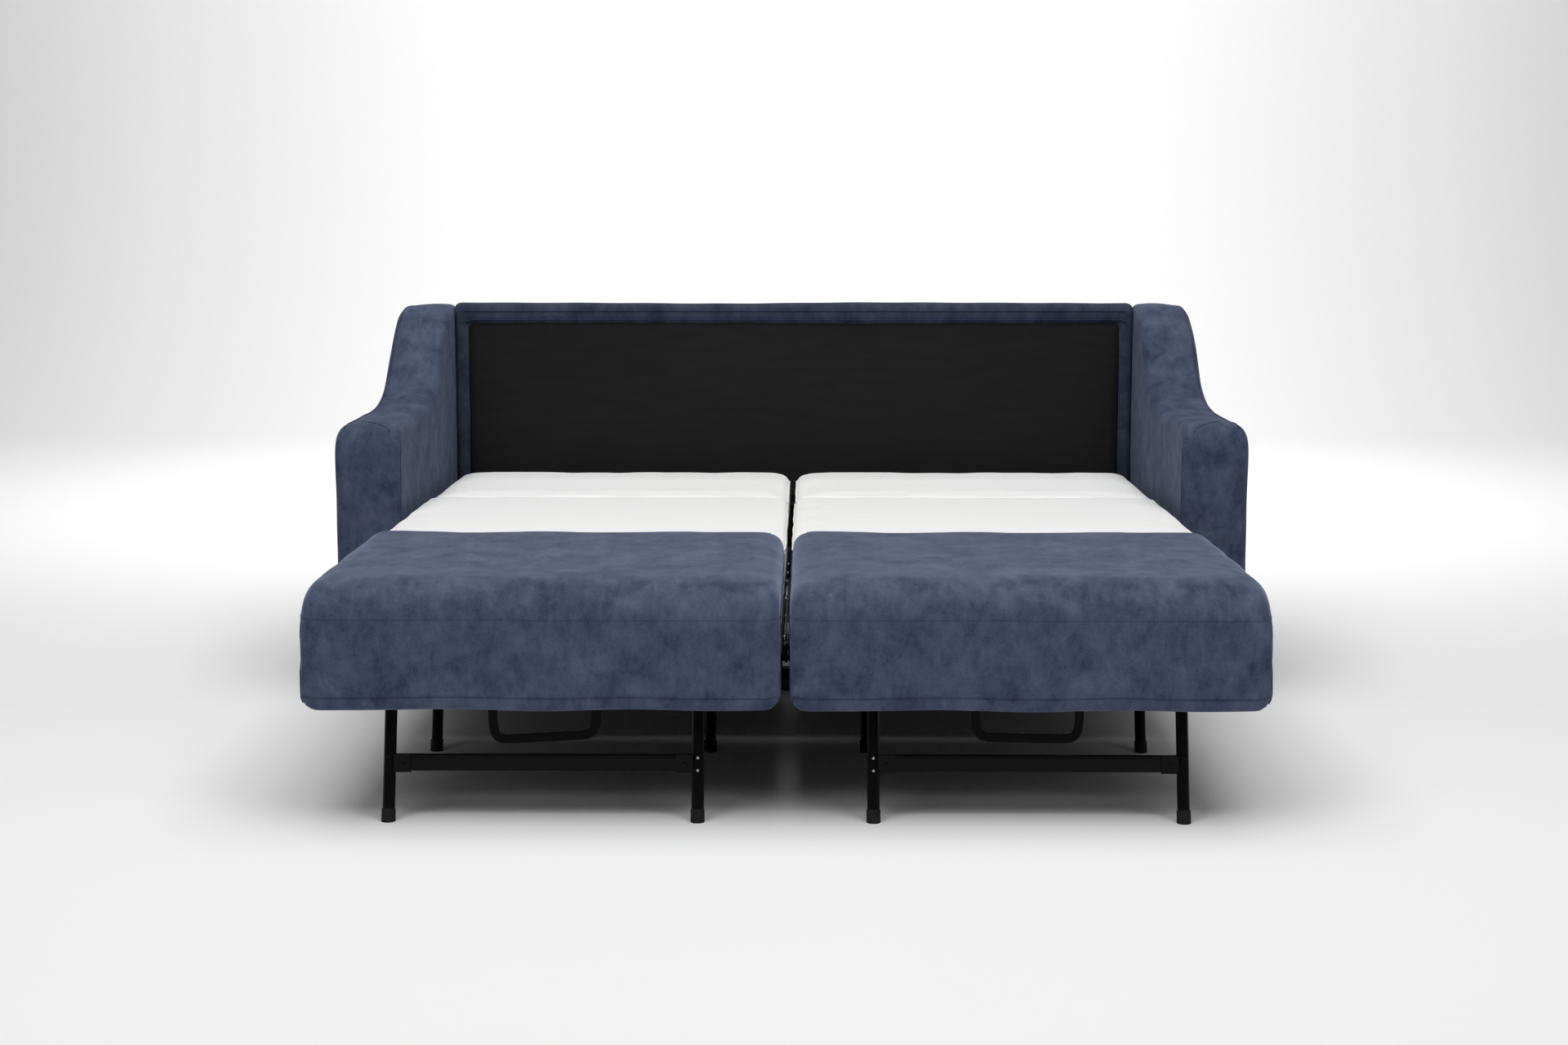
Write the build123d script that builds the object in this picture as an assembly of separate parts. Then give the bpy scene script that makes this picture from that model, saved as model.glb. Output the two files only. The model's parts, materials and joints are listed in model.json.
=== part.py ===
from build123d import *
from math import asin, atan2, cos, degrees, hypot, radians, sin
import os

# Sofa bed for two: a fixed sofa of two arms and a low back, and two single beds side by side that
# pull out of it one at a time. Each bed is a seat (foot end), a middle and a head section.
# Millimetres. While it is drawn, Y = 0 is the front of the arms, +Y is towards the back, X = 0 is
# the centre line and Z = 0 the floor. Each node is moved at the end so that the origin is under
# the middle of the open bed. Left is -X. The beds are drawn open.

# ---------------------------------------------------------------- driving sizes: the sofa
sofa_width = 2000.0
sofa_depth = 1000.0
back_height = 830.0
arm_height = 603.0
arm_thickness = 143.0
arm_taper = 13.0          # how much thinner each arm is where it meets the back
arm_front_round = 45.0    # round between the front and the top of an arm
arm_edge_round = 24.0     # soft edge along the arm's top
scoop_start = 470.0       # where the arm's top starts to rise to the back
scoop_end = 935.0
back_thickness = 97.0
back_bottom = 95.0
back_edge_round = 14.0
panel_margin_side = 35.0  # upholstered border beside the black panel
panel_margin_top = 50.0
panel_bottom = 200.0
panel_recess = 5.0
panel_thickness = 3.0
rear_panel_thickness = 4.0
timber = 45.0             # section of the wooden rails and posts in the arms and back
foam_over_timber = 24.0

# ---------------------------------------------------------------- driving sizes: the base
foot_height = 25.0
foot_diameter = 50.0
foot_inset = 70.0
cross_rail_depth = 30.0
cross_rail_height = 25.0
cross_rail_inset = 20.0
track_width = 30.0
track_height = 14.0
track_offset = 350.0      # each track's distance from its bed's centre line
foot_chamfer = 3.0
nut_diameter = 13.0       # the nuts under the tracks, and how far they hang down
nut_height = 5.0

# ---------------------------------------------------------------- driving sizes: one bed
bed_gap = 12.0            # between the two beds
bed_side_gap = 7.0        # between a bed and the arm beside it
bed_out = 1180.0          # how far the open bed reaches in front of the arms
section_gap = 5.0         # between one cushion and the next
seat_length = 700.0
middle_length = 765.0
head_end = 820.0          # the head cushion's rear face
nose_depth = 60.0
nose_bottom = 200.0
seat_underside = 296.0
seat_top = 430.0
sleep_underside = 280.0
sleep_top = 410.0
cushion_round = 28.0
middle_side_round = 24.0  # along both sides of the middle mattress
deck_thickness = 4.0
rail_width = 20.0
rail_height = 26.0
rail_wall = 2.0
crossbar_width = 40.0
crossbar_height = 12.0
frame_margin = 5.0        # the frames stop this far inside the cushions' ends
seat_frame_setback = 25.0
head_frame_front = 105.0  # room in front of the head frame for its swing
head_frame_rear = 20.0
head_deck_lip = 15.0
rail_inset = 1.0          # the seat and middle rails stay this far inside the cushions
head_frame_inset = 23.0   # room beside the head frame for its pivot lugs

# ---------------------------------------------------------------- driving sizes: the linkage
pin_diameter = 8.0
pin_clearance = 0.05      # radial, where something turns on a pin
plate = 5.0               # plate that carries a pin
link_thickness = 4.0
link_height = 14.0
link_boss = 16.0
link_gap = 2.0            # between a plate and the link beside it
bracket_gap = 2.0         # between the head cushion and its brackets
lift_arm_length = 190.0
lift_arm_swing = 82.4
lift_pivot_height = 75.0
pivot_edge = 8.0          # steel left round a pivot pin
lift_pivot_inset = 12.0   # each lift arm's pivot from the end of the trolley
stud_collar = 2.0         # collar round a pin, beside its link
stud_gap = 0.5
open_hole = 0.5           # radial, where a follower link stays clear of its far pin
ear_relief = 1.0
trolley_front = 5.0
trolley_tube_inset = 20.0
trolley_length = 155.0
trolley_tube = 16.0
trolley_clearance = 2.0   # between the tracks and the trolley's tubes
glide_clearance = 0.3
glide_wall = 6.0
glide_grip = 8.0          # how far a glide reaches down each side of its track
swing_link_length = 310.0
swing_link_front = 50.0   # front link pivot behind the middle section's front edge
swing_link_spacing = 230.0
link_pivot_height = 279.0
head_pivot_setback = 30.0
head_pivot_height = 320.0
head_pin_diameter = 10.0
bracket_thickness = 6.0
bracket_radius = 18.0
head_lug_radius = 15.0
head_lug_length = 60.0
head_pin_gap = 0.5        # between the two beds' pins, inside the middle bracket

# ---------------------------------------------------------------- driving sizes: the legs
leg_tube = 22.0
leg_wall = 2.0
leg_offset = 273.0        # each leg's distance from its bed's centre line
leg_pivot_height = 265.0
front_leg_pivot = 100.0   # behind the seat's front edge
front_foot = 26.0
rear_leg_pivot = 668.0
rear_foot = 586.0
leg_bar_height = 100.0
leg_bar_tall = 30.0
leg_bar_deep = 16.0
bracket_length = 28.0     # plate that holds each end of the front legs' bar
bracket_plate = 2.5
foot_cap_diameter = 25.0
foot_cap_length = 22.0
tab_thickness = 4.0
tab_radius = 10.0
tab_gap = 0.5             # between a leg and each of its tabs
pin_head = 3.0            # how thick and how much wider a leg pin's head is
cap_floor = 8.0           # rubber under the end of a tube
bolt_diameter = 10.0
bolt_height = 3.0
rivet_diameter = 7.0
rivet_height = 1.5
rivet_shift = 11.0        # each rivet's distance from the bar's centre line, along the leg
plate_lip = 3.0           # how far the bar's plate laps the leg
strap_width = 200.0
strap_webbing = 16.0
strap_thickness = 6.0
strap_bottom = 128.0
strap_setback = 74.0
strap_round = 34.0
strap_tuck = 2.0          # gap over the strap's sewn top, and how far below it the strap turns
strap_turn = 4.0

# ---------------------------------------------------------------- worked out from the sizes above
half_width = sofa_width / 2
inner_half = half_width - arm_thickness
back_front = sofa_depth - back_thickness
back_half = inner_half + arm_taper
bed_width = inner_half - bed_side_gap - bed_gap / 2
bed_half = bed_width / 2
bed_centre = bed_gap / 2 + bed_half
seat_front = -bed_out
seat_rear = seat_front + seat_length
middle_front = seat_rear + section_gap
middle_rear = middle_front + middle_length
head_front = middle_rear + section_gap
frame_half = bed_half - rail_inset
head_frame_half = bed_half - head_frame_inset
origin_y = (seat_front + sofa_depth) / 2

track_bottom = foot_height + cross_rail_height
track_top = track_bottom + track_height
plate_outer = frame_half
plate_inner = plate_outer - plate
link_inner = plate_outer + link_gap
link_outer = link_inner + link_thickness
sleep_frame_top = sleep_underside - deck_thickness
sleep_frame_bottom = sleep_frame_top - rail_height
seat_frame_top = seat_underside - deck_thickness
seat_frame_bottom = sleep_frame_bottom
seat_bar_bottom = seat_frame_top - crossbar_height

# The lift arms stand upright while the bed is open, and lower the middle section as they fold.
lift_front_y = trolley_front + lift_pivot_inset
lift_rear_y = trolley_front + trolley_length - lift_pivot_inset
middle_pivot_height = lift_pivot_height + lift_arm_length
middle_drop = lift_arm_length * (1 - cos(radians(lift_arm_swing)))
trolley_rear_stop = sofa_depth - back_thickness + 40.0
trolley_travel = trolley_rear_stop - trolley_front - trolley_length
middle_travel = trolley_travel - lift_arm_length * sin(radians(lift_arm_swing))

# The swing links carry the seat back over the middle section by what is left of its travel.
seat_lead = bed_out - middle_travel
link_chord = hypot(seat_lead, middle_drop)
swing_link_sweep = 2 * degrees(asin(link_chord / 2 / swing_link_length))
link_start = 90.0 - degrees(atan2(middle_drop, seat_lead)) - swing_link_sweep / 2
link_reach = swing_link_length * cos(radians(link_start))
link_rise = swing_link_length * sin(radians(link_start))
middle_link_front_y = middle_front + swing_link_front
middle_link_rear_y = middle_link_front_y + swing_link_spacing
seat_link_front_y = middle_link_front_y - link_reach
seat_link_rear_y = middle_link_rear_y - link_reach
seat_link_height = link_pivot_height + link_rise

head_pivot_y = head_end - head_pivot_setback
front_leg_y = seat_front + front_leg_pivot
rear_leg_y = seat_front + rear_leg_pivot
front_foot_y = seat_front + front_foot
rear_foot_y = seat_front + rear_foot
front_leg_lean = degrees(atan2(front_leg_y - front_foot_y, leg_pivot_height))
rear_leg_lean = degrees(atan2(rear_leg_y - rear_foot_y, leg_pivot_height))
front_leg_fold = 90.0 + front_leg_lean
rear_leg_fold = 90.0 - rear_leg_lean
strap_y = seat_front + strap_setback
strap_top = seat_frame_top - strap_tuck
strap_pivot_height = strap_top - strap_turn


# ---------------------------------------------------------------- drawing helpers
def block(x0, x1, y0, y1, z0, z1):
    """A box between two corners."""
    corner = Align.MIN, Align.MIN, Align.MIN
    return Pos(x0, y0, z0) * Box(x1 - x0, y1 - y0, z1 - z0, align=corner)


def prism(points, x0, x1):
    """A side outline of (y, z) points carried across from x0 to x1."""
    wire = Polyline(*[(x0, y, z) for y, z in points], close=True)
    return extrude(make_face(wire), amount=x1 - x0, dir=(1, 0, 0))


def rod(x0, x1, y, z, diameter):
    """A round bar along X."""
    base = Plane(origin=(x0, y, z), x_dir=(0, 1, 0), z_dir=(1, 0, 0))
    return extrude(base * Circle(diameter / 2), amount=x1 - x0)


def rail_tube(x0, x1, y0, y1, z0, z1, wall, along):
    """A rectangular steel tube with open ends, along X or Y."""
    if along == "X":
        bore = block(x0, x1, y0 + wall, y1 - wall, z0 + wall, z1 - wall)
    else:
        bore = block(x0 + wall, x1 - wall, y0, y1, z0 + wall, z1 - wall)
    return block(x0, x1, y0, y1, z0, z1) - bore


def mirrored(shape):
    """The same shape on the other side of the bed's centre line."""
    return mirror(shape, about=Plane.YZ)


def pair(shape):
    """A shape and its mirror image, joined where they touch."""
    return shape + mirrored(shape)


def evenly(first, last, count):
    """Places from first to last, the same distance apart."""
    step = (last - first) / (count - 1)
    return [first + step * i for i in range(count)]


def save(name, shape):
    """Write one node, moved so that the origin is under the middle of the open bed."""
    solids = [Pos(0, -origin_y, 0) * solid for solid in shape.solids()]
    whole = solids[0] if len(solids) == 1 else Compound(children=solids)
    export_step(whole, f"parts/{name}.step")


# ---------------------------------------------------------------- sofa: arms
def arm_outline():
    """The side outline of an arm: level at the front, then a scoop up to the back."""
    bottom = track_bottom
    rise = back_height - arm_height
    run = scoop_end - scoop_start
    middle = (scoop_start + 0.38 * run, arm_height + 0.405 * rise)
    rear_round = arm_front_round * 0.6
    front = Line((0, bottom), (0, arm_height - arm_front_round))
    front_corner = RadiusArc(front @ 1, (arm_front_round, arm_height), arm_front_round)
    level = Line(front_corner @ 1, (scoop_start, arm_height))
    top = (scoop_end, back_height)
    scoop = Spline(level @ 1, middle, top, tangents=[(1, 0), (1, 0)])
    crest = Line(scoop @ 1, (sofa_depth - rear_round, back_height))
    rear_corner = RadiusArc(crest @ 1, (sofa_depth, back_height - rear_round), rear_round)
    rear = Line(rear_corner @ 1, (sofa_depth, bottom))
    sole = Line(rear @ 1, (0, bottom))
    return make_face([front, front_corner, level, scoop, crest, rear_corner, rear, sole])


def arm_body():
    """The right arm's full shape, thinner towards the back."""
    side = Plane(origin=(inner_half, 0, 0), x_dir=(0, 1, 0), z_dir=(1, 0, 0))
    body = extrude(side * arm_outline(), amount=arm_thickness)
    outer_top = [edge for edge in body.edges().group_by(Axis.X)[-1]
                 if edge.center().Z > arm_height - arm_front_round]
    body = fillet(outer_top, arm_edge_round)
    wedge_plan = Polyline((inner_half, 0, 0), (back_half, back_front, 0),
                          (back_half, sofa_depth, 0), (inner_half, sofa_depth, 0), close=True)
    wedge = extrude(make_face(wedge_plan), amount=back_height, dir=(0, 0, 1))
    return body - wedge


def arm_frame():
    """The right arm's timber: two posts, a bottom rail, a top rail and a middle rail."""
    x0 = back_half + foam_over_timber
    x1 = x0 + timber
    y0 = foam_over_timber
    y1 = sofa_depth - foam_over_timber
    z0 = track_bottom
    z1 = arm_height - foam_over_timber
    middle_rail = (z0 + z1) / 2
    rear_top = back_height - 2 * foam_over_timber
    frame = block(x0, x1, y0, y0 + timber, z0, z1)
    frame += block(x0, x1, y1 - timber, y1, z0, rear_top)
    frame += block(x0, x1, y0, y1, z0, z0 + timber)
    frame += block(x0, x1, y0, y1, z1 - timber, z1)
    frame += block(x0, x1, y0, y1, middle_rail, middle_rail + timber)
    return frame


def make_arms():
    frame = arm_frame()
    cover = arm_body() - frame
    save("arm_frames", Compound(children=[mirrored(frame).solid(), frame.solid()]))
    save("arm_cover_right", cover)
    save("arm_cover_left", mirrored(cover))


# ---------------------------------------------------------------- sofa: back
def back_timber():
    """A ladder of two long rails and four posts."""
    x = back_half - foam_over_timber
    y0 = back_front + foam_over_timber
    y1 = y0 + timber
    z0 = back_bottom + foam_over_timber
    z1 = back_height - foam_over_timber
    frame = block(-x, x, y0, y1, z0, z0 + timber) + block(-x, x, y0, y1, z1 - timber, z1)
    for post in evenly(-x, x - timber, 9):
        frame += block(post, post + timber, y0, y1, z0, z1)
    return frame


def make_back():
    panel_half = back_half - panel_margin_side
    panel_top = back_height - panel_margin_top
    pocket_rear = back_front + panel_recess + panel_thickness
    cover_rear = sofa_depth - rear_panel_thickness
    cover = block(-back_half, back_half, back_front, cover_rear, back_bottom, back_height)
    front_top = [edge for edge in cover.edges().filter_by(Axis.X)
                 if edge.center().Z > back_height - 1]
    cover = fillet(front_top, back_edge_round)
    frame = back_timber()
    cover -= block(-panel_half, panel_half, back_front, pocket_rear, panel_bottom, panel_top)
    cover -= frame
    save("back_cover", cover)
    save("back_frame", frame)
    panel_front = back_front + panel_recess
    save("back_panel",
         block(-panel_half, panel_half, panel_front, pocket_rear, panel_bottom, panel_top))
    rear_top = back_height - back_edge_round
    save("rear_panel", block(-back_half, back_half, cover_rear, sofa_depth, back_bottom, rear_top))


# ---------------------------------------------------------------- sofa: base
def make_base():
    z0 = foot_height
    z1 = track_bottom
    wall = rail_wall
    x = half_width - 10.0
    front_y = cross_rail_inset
    rear_y = sofa_depth - cross_rail_inset - cross_rail_depth
    rails = (front_y, rear_y)
    tubes = [rail_tube(-x, x, y, y + cross_rail_depth, z0, z1, wall, "X").solid() for y in rails]
    save("base_rails", Compound(children=tubes))
    tracks = []
    for centre in (-bed_centre, bed_centre):
        for offset in (-track_offset, track_offset):
            x0 = centre + offset - track_width / 2
            tracks += [block(x0, x0 + track_width, 0, rear_y + cross_rail_depth, z1, track_top)]
    save("trolley_tracks", Compound(children=tracks))
    feet = []
    standing = Align.CENTER, Align.CENTER, Align.MIN
    for y in rails:
        for x in (foot_inset - half_width, 0, half_width - foot_inset):
            foot = Cylinder(foot_diameter / 2, foot_height, align=standing)
            foot = chamfer(foot.edges().group_by(Axis.Z)[0], foot_chamfer)
            feet += [Pos(x, y + cross_rail_depth / 2, 0) * foot]
    save("sofa_feet", Compound(children=feet))


def head_bracket(x0, x1):
    """A plate that stands forward from the sofa's back and carries a head pivot."""
    radius = bracket_radius
    z = head_pivot_height
    arm = block(x0, x1, head_pivot_y, back_front, z - radius, z + radius)
    arm += rod(x0, x1, head_pivot_y, z, 2 * radius)
    return arm - rod(x0, x1, head_pivot_y, z, head_pin_diameter + 2 * pin_clearance)


def make_head_brackets():
    outer = bed_centre + bed_half + bracket_gap
    centre_half = bed_gap / 2 - bracket_gap
    right = head_bracket(outer, outer + bracket_thickness)
    shapes = [mirrored(right), head_bracket(-centre_half, centre_half), right]
    save("head_brackets", Compound(children=[solid for shape in shapes for solid in shape.solids()]))


def make_base_bolts():
    """The nuts under the cross rails that hold the tracks on."""
    bolts = []
    standing = Align.CENTER, Align.CENTER, Align.MIN
    rail_centres = (cross_rail_inset + cross_rail_depth / 2,
                    sofa_depth - cross_rail_inset - cross_rail_depth / 2)
    for centre in (-bed_centre, bed_centre):
        for offset in (-track_offset, track_offset):
            for y in rail_centres:
                nut = Cylinder(nut_diameter / 2, nut_height, align=standing)
                bolts += [Pos(centre + offset, y, foot_height - nut_height) * nut]
    save("track_bolts", Compound(children=bolts))


# ---------------------------------------------------------------- bed: shared pieces
def stud(y, z, x0):
    """A pivot pin that starts at x0, with a collar beside the link, and ends flush with its face."""
    collar = rod(plate_outer, link_inner - stud_gap, y, z, pin_diameter + 2 * stud_collar)
    return rod(x0, link_outer, y, z, pin_diameter) + collar


def link_bar(start, end):
    """A flat bar with a round boss and a pin hole at each end, drawn on the right-hand side."""
    (y0, z0), (y1, z1) = start, end
    length = hypot(y1 - y0, z1 - z0)
    across = (-(z1 - z0) / length * link_height / 2, (y1 - y0) / length * link_height / 2)
    corners = [(y0 + across[0], z0 + across[1]), (y1 + across[0], z1 + across[1]),
               (y1 - across[0], z1 - across[1]), (y0 - across[0], z0 - across[1])]
    bar = prism(corners, link_inner, link_outer)
    hole = pin_diameter + 2 * pin_clearance
    for y, z in (start, end):
        bar += rod(link_inner, link_outer, y, z, link_boss)
    for y, z in (start, end):
        bar -= rod(link_inner, link_outer, y, z, hole)
    return bar


def open_link_bar(start, end):
    """A link whose far hole is wide, so that it only follows and carries nothing there."""
    bar = link_bar(start, end)
    y, z = end
    return bar - rod(link_inner, link_outer, y, z, pin_diameter + 2 * open_hole)


def ladder_frame(y0, y1, z0, z1, bar_z0, bar_places, half):
    """Two side tubes joined by flat cross tubes."""
    inner = half - rail_width
    side = rail_tube(inner, half, y0, y1, z0, z1, rail_wall, "Y")
    frame = pair(side)
    for y in bar_places:
        frame += rail_tube(-inner, inner, y - crossbar_width / 2, y + crossbar_width / 2, bar_z0, z1,
                           rail_wall, "X")
    return frame


def seat_outline():
    """The seat cushion's side outline, with the nose that hangs down at its front."""
    nose_rear = seat_front + nose_depth
    r = cushion_round
    return [(seat_front, nose_bottom), (nose_rear, nose_bottom), (nose_rear, seat_underside),
            (seat_rear - 16.0, seat_underside), (seat_rear, seat_underside + 16.0),
            (seat_rear, seat_top - r), (seat_rear - r * 0.3, seat_top - r * 0.3),
            (seat_rear - r, seat_top), (seat_front + r, seat_top),
            (seat_front + r * 0.3, seat_top - r * 0.3), (seat_front, seat_top - r)]


def middle_outline():
    """The middle mattress's side outline, rounded at both ends of its top."""
    r = cushion_round
    low = sleep_top - 1.3 * r
    return [(middle_front, sleep_underside), (middle_rear, sleep_underside), (middle_rear, low),
            (middle_rear - r * 0.3, sleep_top - r * 0.6), (middle_rear - r, sleep_top - r * 0.15),
            (middle_rear - r * 1.6, sleep_top), (middle_front + r * 2.0, sleep_top),
            (middle_front + r * 1.4, sleep_top - r * 0.15), (middle_front + r * 0.65, sleep_top - r * 0.65),
            (middle_front + r * 0.2, sleep_top - r * 1.35), (middle_front, sleep_top - r * 2.1)]


def head_outline():
    """The head mattress's side outline, undercut at its front so that it can swing up."""
    r = cushion_round
    return [(head_front + 67.0, sleep_underside), (head_end - 20.0, sleep_underside),
            (head_end, sleep_underside + 20.0), (head_end, sleep_top - r),
            (head_end - r * 0.3, sleep_top - r * 0.3), (head_end - r, sleep_top),
            (head_front + 20.0, sleep_top), (head_front + 8.0, sleep_top - 6.0),
            (head_front + 2.0, sleep_top - 18.0), (head_front + 35.0, sleep_underside + 50.0)]


# ---------------------------------------------------------------- bed: trolley and lift arms
def make_trolley(side, place):
    y0 = trolley_front
    y1 = trolley_front + trolley_length
    z0 = track_top + trolley_clearance
    z1 = z0 + trolley_tube
    cheek = block(plate_inner, plate_outer, y0, y1, z0, lift_pivot_height + pivot_edge)
    cheek += stud(lift_front_y, lift_pivot_height, plate_outer)
    cheek += stud(lift_rear_y, lift_pivot_height, plate_outer)
    trolley = pair(cheek)
    tube_places = (y0 + trolley_tube_inset, y1 - trolley_tube_inset - crossbar_width)
    for y in tube_places:
        trolley += rail_tube(-plate_inner, plate_inner, y, y + crossbar_width, z0, z1, rail_wall, "X")
    save(f"trolley_{side}", place * trolley)
    glides = []
    reach = track_width / 2 + glide_clearance
    side_reach = reach + glide_wall
    cap_bottom = track_top - glide_grip
    for x in (-track_offset, track_offset):
        for y in tube_places:
            cap = block(x - side_reach, x + side_reach, y, y + crossbar_width, cap_bottom, z0)
            cap -= block(x - reach, x + reach, y, y + crossbar_width, cap_bottom,
                         track_top + glide_clearance)
            glides += cap.solids()
    save(f"trolley_glides_{side}", place * Compound(children=glides))


def make_lift_arms(side, place):
    for name, y in (("front", lift_front_y), ("rear", lift_rear_y)):
        shape = link_bar if name == "front" else open_link_bar
        bar = shape((y, lift_pivot_height), (y, middle_pivot_height))
        save(f"lift_arms_{name}_{side}", place * pair(bar))


# ---------------------------------------------------------------- bed: middle section
def make_middle(side, place):
    y0 = middle_front + frame_margin
    y1 = middle_rear - frame_margin
    bars = evenly(y0 + crossbar_width / 2, y1 - crossbar_width / 2, 5)
    bar_bottom = sleep_frame_top - crossbar_height
    frame = ladder_frame(y0, y1, sleep_frame_bottom, sleep_frame_top, bar_bottom, bars, frame_half)
    pins = []
    reliefs = Part()
    relief = ear_relief
    holes = [(lift_front_y, middle_pivot_height), (lift_rear_y, middle_pivot_height),
             (middle_link_front_y, link_pivot_height), (middle_link_rear_y, link_pivot_height)]
    for y, z in holes:
        start = frame_half - rail_width
        if z + pivot_edge > sleep_frame_top:
            ear = block(plate_inner, plate_outer, y - pivot_edge, y + pivot_edge, sleep_frame_bottom, z)
            frame += pair(ear + rod(plate_inner, plate_outer, y, z, 2 * pivot_edge))
            start = plate_inner
            reliefs += pair(block(plate_inner - relief, bed_half, y - pivot_edge - relief,
                                  y + pivot_edge + relief, sleep_frame_top, z + pivot_edge + relief))
        frame -= pair(rod(start, frame_half, y, z, pin_diameter))
        pins += pair(stud(y, z, start)).solids()
    save(f"middle_frame_{side}", place * frame)
    save(f"middle_pins_{side}", place * Compound(children=pins))
    deck = block(-frame_half, frame_half, y0, y1, sleep_frame_top, sleep_underside)
    save(f"middle_deck_{side}", place * (deck - reliefs))
    mattress = prism(middle_outline(), -bed_half, bed_half)
    long_edges = [edge for edge in mattress.edges().filter_by(Axis.Y)
                  if edge.center().Z > sleep_top - 1]
    mattress = chamfer(long_edges, middle_side_round)
    save(f"middle_mattress_{side}", place * (mattress - reliefs))


def make_swing_links(side, place):
    front = ((middle_link_front_y, link_pivot_height), (seat_link_front_y, seat_link_height))
    rear = ((middle_link_rear_y, link_pivot_height), (seat_link_rear_y, seat_link_height))
    save(f"swing_links_front_{side}", place * pair(link_bar(*front)))
    save(f"swing_links_rear_{side}", place * pair(open_link_bar(*rear)))


# ---------------------------------------------------------------- bed: seat section
def leg_tabs(y):
    """Two plates on each side of the bed that hold a leg between them, and the pin's hole."""
    gap = leg_tube / 2 + tab_gap
    radius = tab_radius
    tabs = None
    for x0 in (leg_offset - gap - tab_thickness, leg_offset + gap):
        tab = block(x0, x0 + tab_thickness, y - radius, y + radius, leg_pivot_height, seat_bar_bottom)
        tab += rod(x0, x0 + tab_thickness, y, leg_pivot_height, 2 * radius)
        tabs = tab if tabs is None else tabs + tab
    return pair(tabs)


def make_seat(side, place):
    y0 = seat_front + nose_depth + frame_margin
    y1 = seat_rear - seat_frame_setback
    bars = evenly(front_leg_y, y1 - crossbar_width / 2, 4)
    frame = ladder_frame(y0, y1, seat_frame_bottom, seat_frame_top, seat_bar_bottom, bars, frame_half)
    pins = []
    for y in (seat_link_front_y, seat_link_rear_y):
        tab = rod(plate_inner, plate_outer, y, seat_link_height, 2 * pivot_edge)
        tab += block(plate_inner, plate_outer, y - pivot_edge, y + pivot_edge, seat_link_height,
                     seat_link_height + 2 * pivot_edge)
        frame += pair(tab)
        frame -= pair(rod(plate_inner, plate_outer, y, seat_link_height, pin_diameter))
        pins += pair(stud(y, seat_link_height, plate_inner)).solids()
    half_pin = leg_tube / 2 + tab_gap + tab_thickness
    for y in (front_leg_y, rear_leg_y):
        tabs = leg_tabs(y)
        hole = rod(leg_offset - half_pin, leg_offset + half_pin, y, leg_pivot_height, pin_diameter)
        frame += tabs - pair(hole)
        head = rod(leg_offset + half_pin, leg_offset + half_pin + pin_head, y, leg_pivot_height,
                   pin_diameter + 2 * pin_head)
        pins += pair(hole + head).solids()
    save(f"seat_frame_{side}", place * frame)
    save(f"seat_pins_{side}", place * Compound(children=pins))
    deck = block(-frame_half, frame_half, y0, y1, seat_frame_top, seat_underside)
    save(f"seat_deck_{side}", place * deck)
    save(f"seat_cushion_{side}", place * prism(seat_outline(), -bed_half, bed_half))


def make_strap(side, place):
    """A webbing loop: two upright runs joined by a rounded bottom."""
    x = strap_width / 2
    y0 = strap_y - strap_thickness / 2
    front = Plane(origin=(0, y0, 0), x_dir=(1, 0, 0), z_dir=(0, -1, 0))

    def loop(half, bottom, radius):
        height = strap_top - bottom
        middle = Pos(0, bottom + height / 2)
        outline = middle * Rectangle(2 * half, height)
        return fillet(outline.vertices().group_by(Axis.Y)[0], radius)

    inner_bottom = strap_bottom + strap_webbing
    web = loop(x, strap_bottom, strap_round)
    web -= loop(x - strap_webbing, inner_bottom, strap_round - strap_webbing / 2)
    solid = extrude(front * web, amount=-strap_thickness)
    save(f"pull_strap_{side}", place * solid)


# ---------------------------------------------------------------- bed: legs
def leg_axis(pivot_y, foot_y):
    """The leg's direction, from its pivot to its foot, and its length to the floor."""
    run = foot_y - pivot_y
    length = hypot(run, leg_pivot_height)
    return (0, run / length, -leg_pivot_height / length), length


def leg_bar(bar_y):
    """A flattened tube between two legs."""
    reach = leg_offset - leg_tube / 2
    outline = RectangleRounded(leg_bar_deep, leg_bar_tall, leg_bar_deep * 0.35)
    bore = RectangleRounded(leg_bar_deep - 2 * leg_wall, leg_bar_tall - 2 * leg_wall, leg_wall)
    end = Plane(origin=(-reach, bar_y, leg_bar_height), x_dir=(0, 1, 0), z_dir=(1, 0, 0))
    return extrude(end * (outline - bore), amount=2 * reach)


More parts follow.
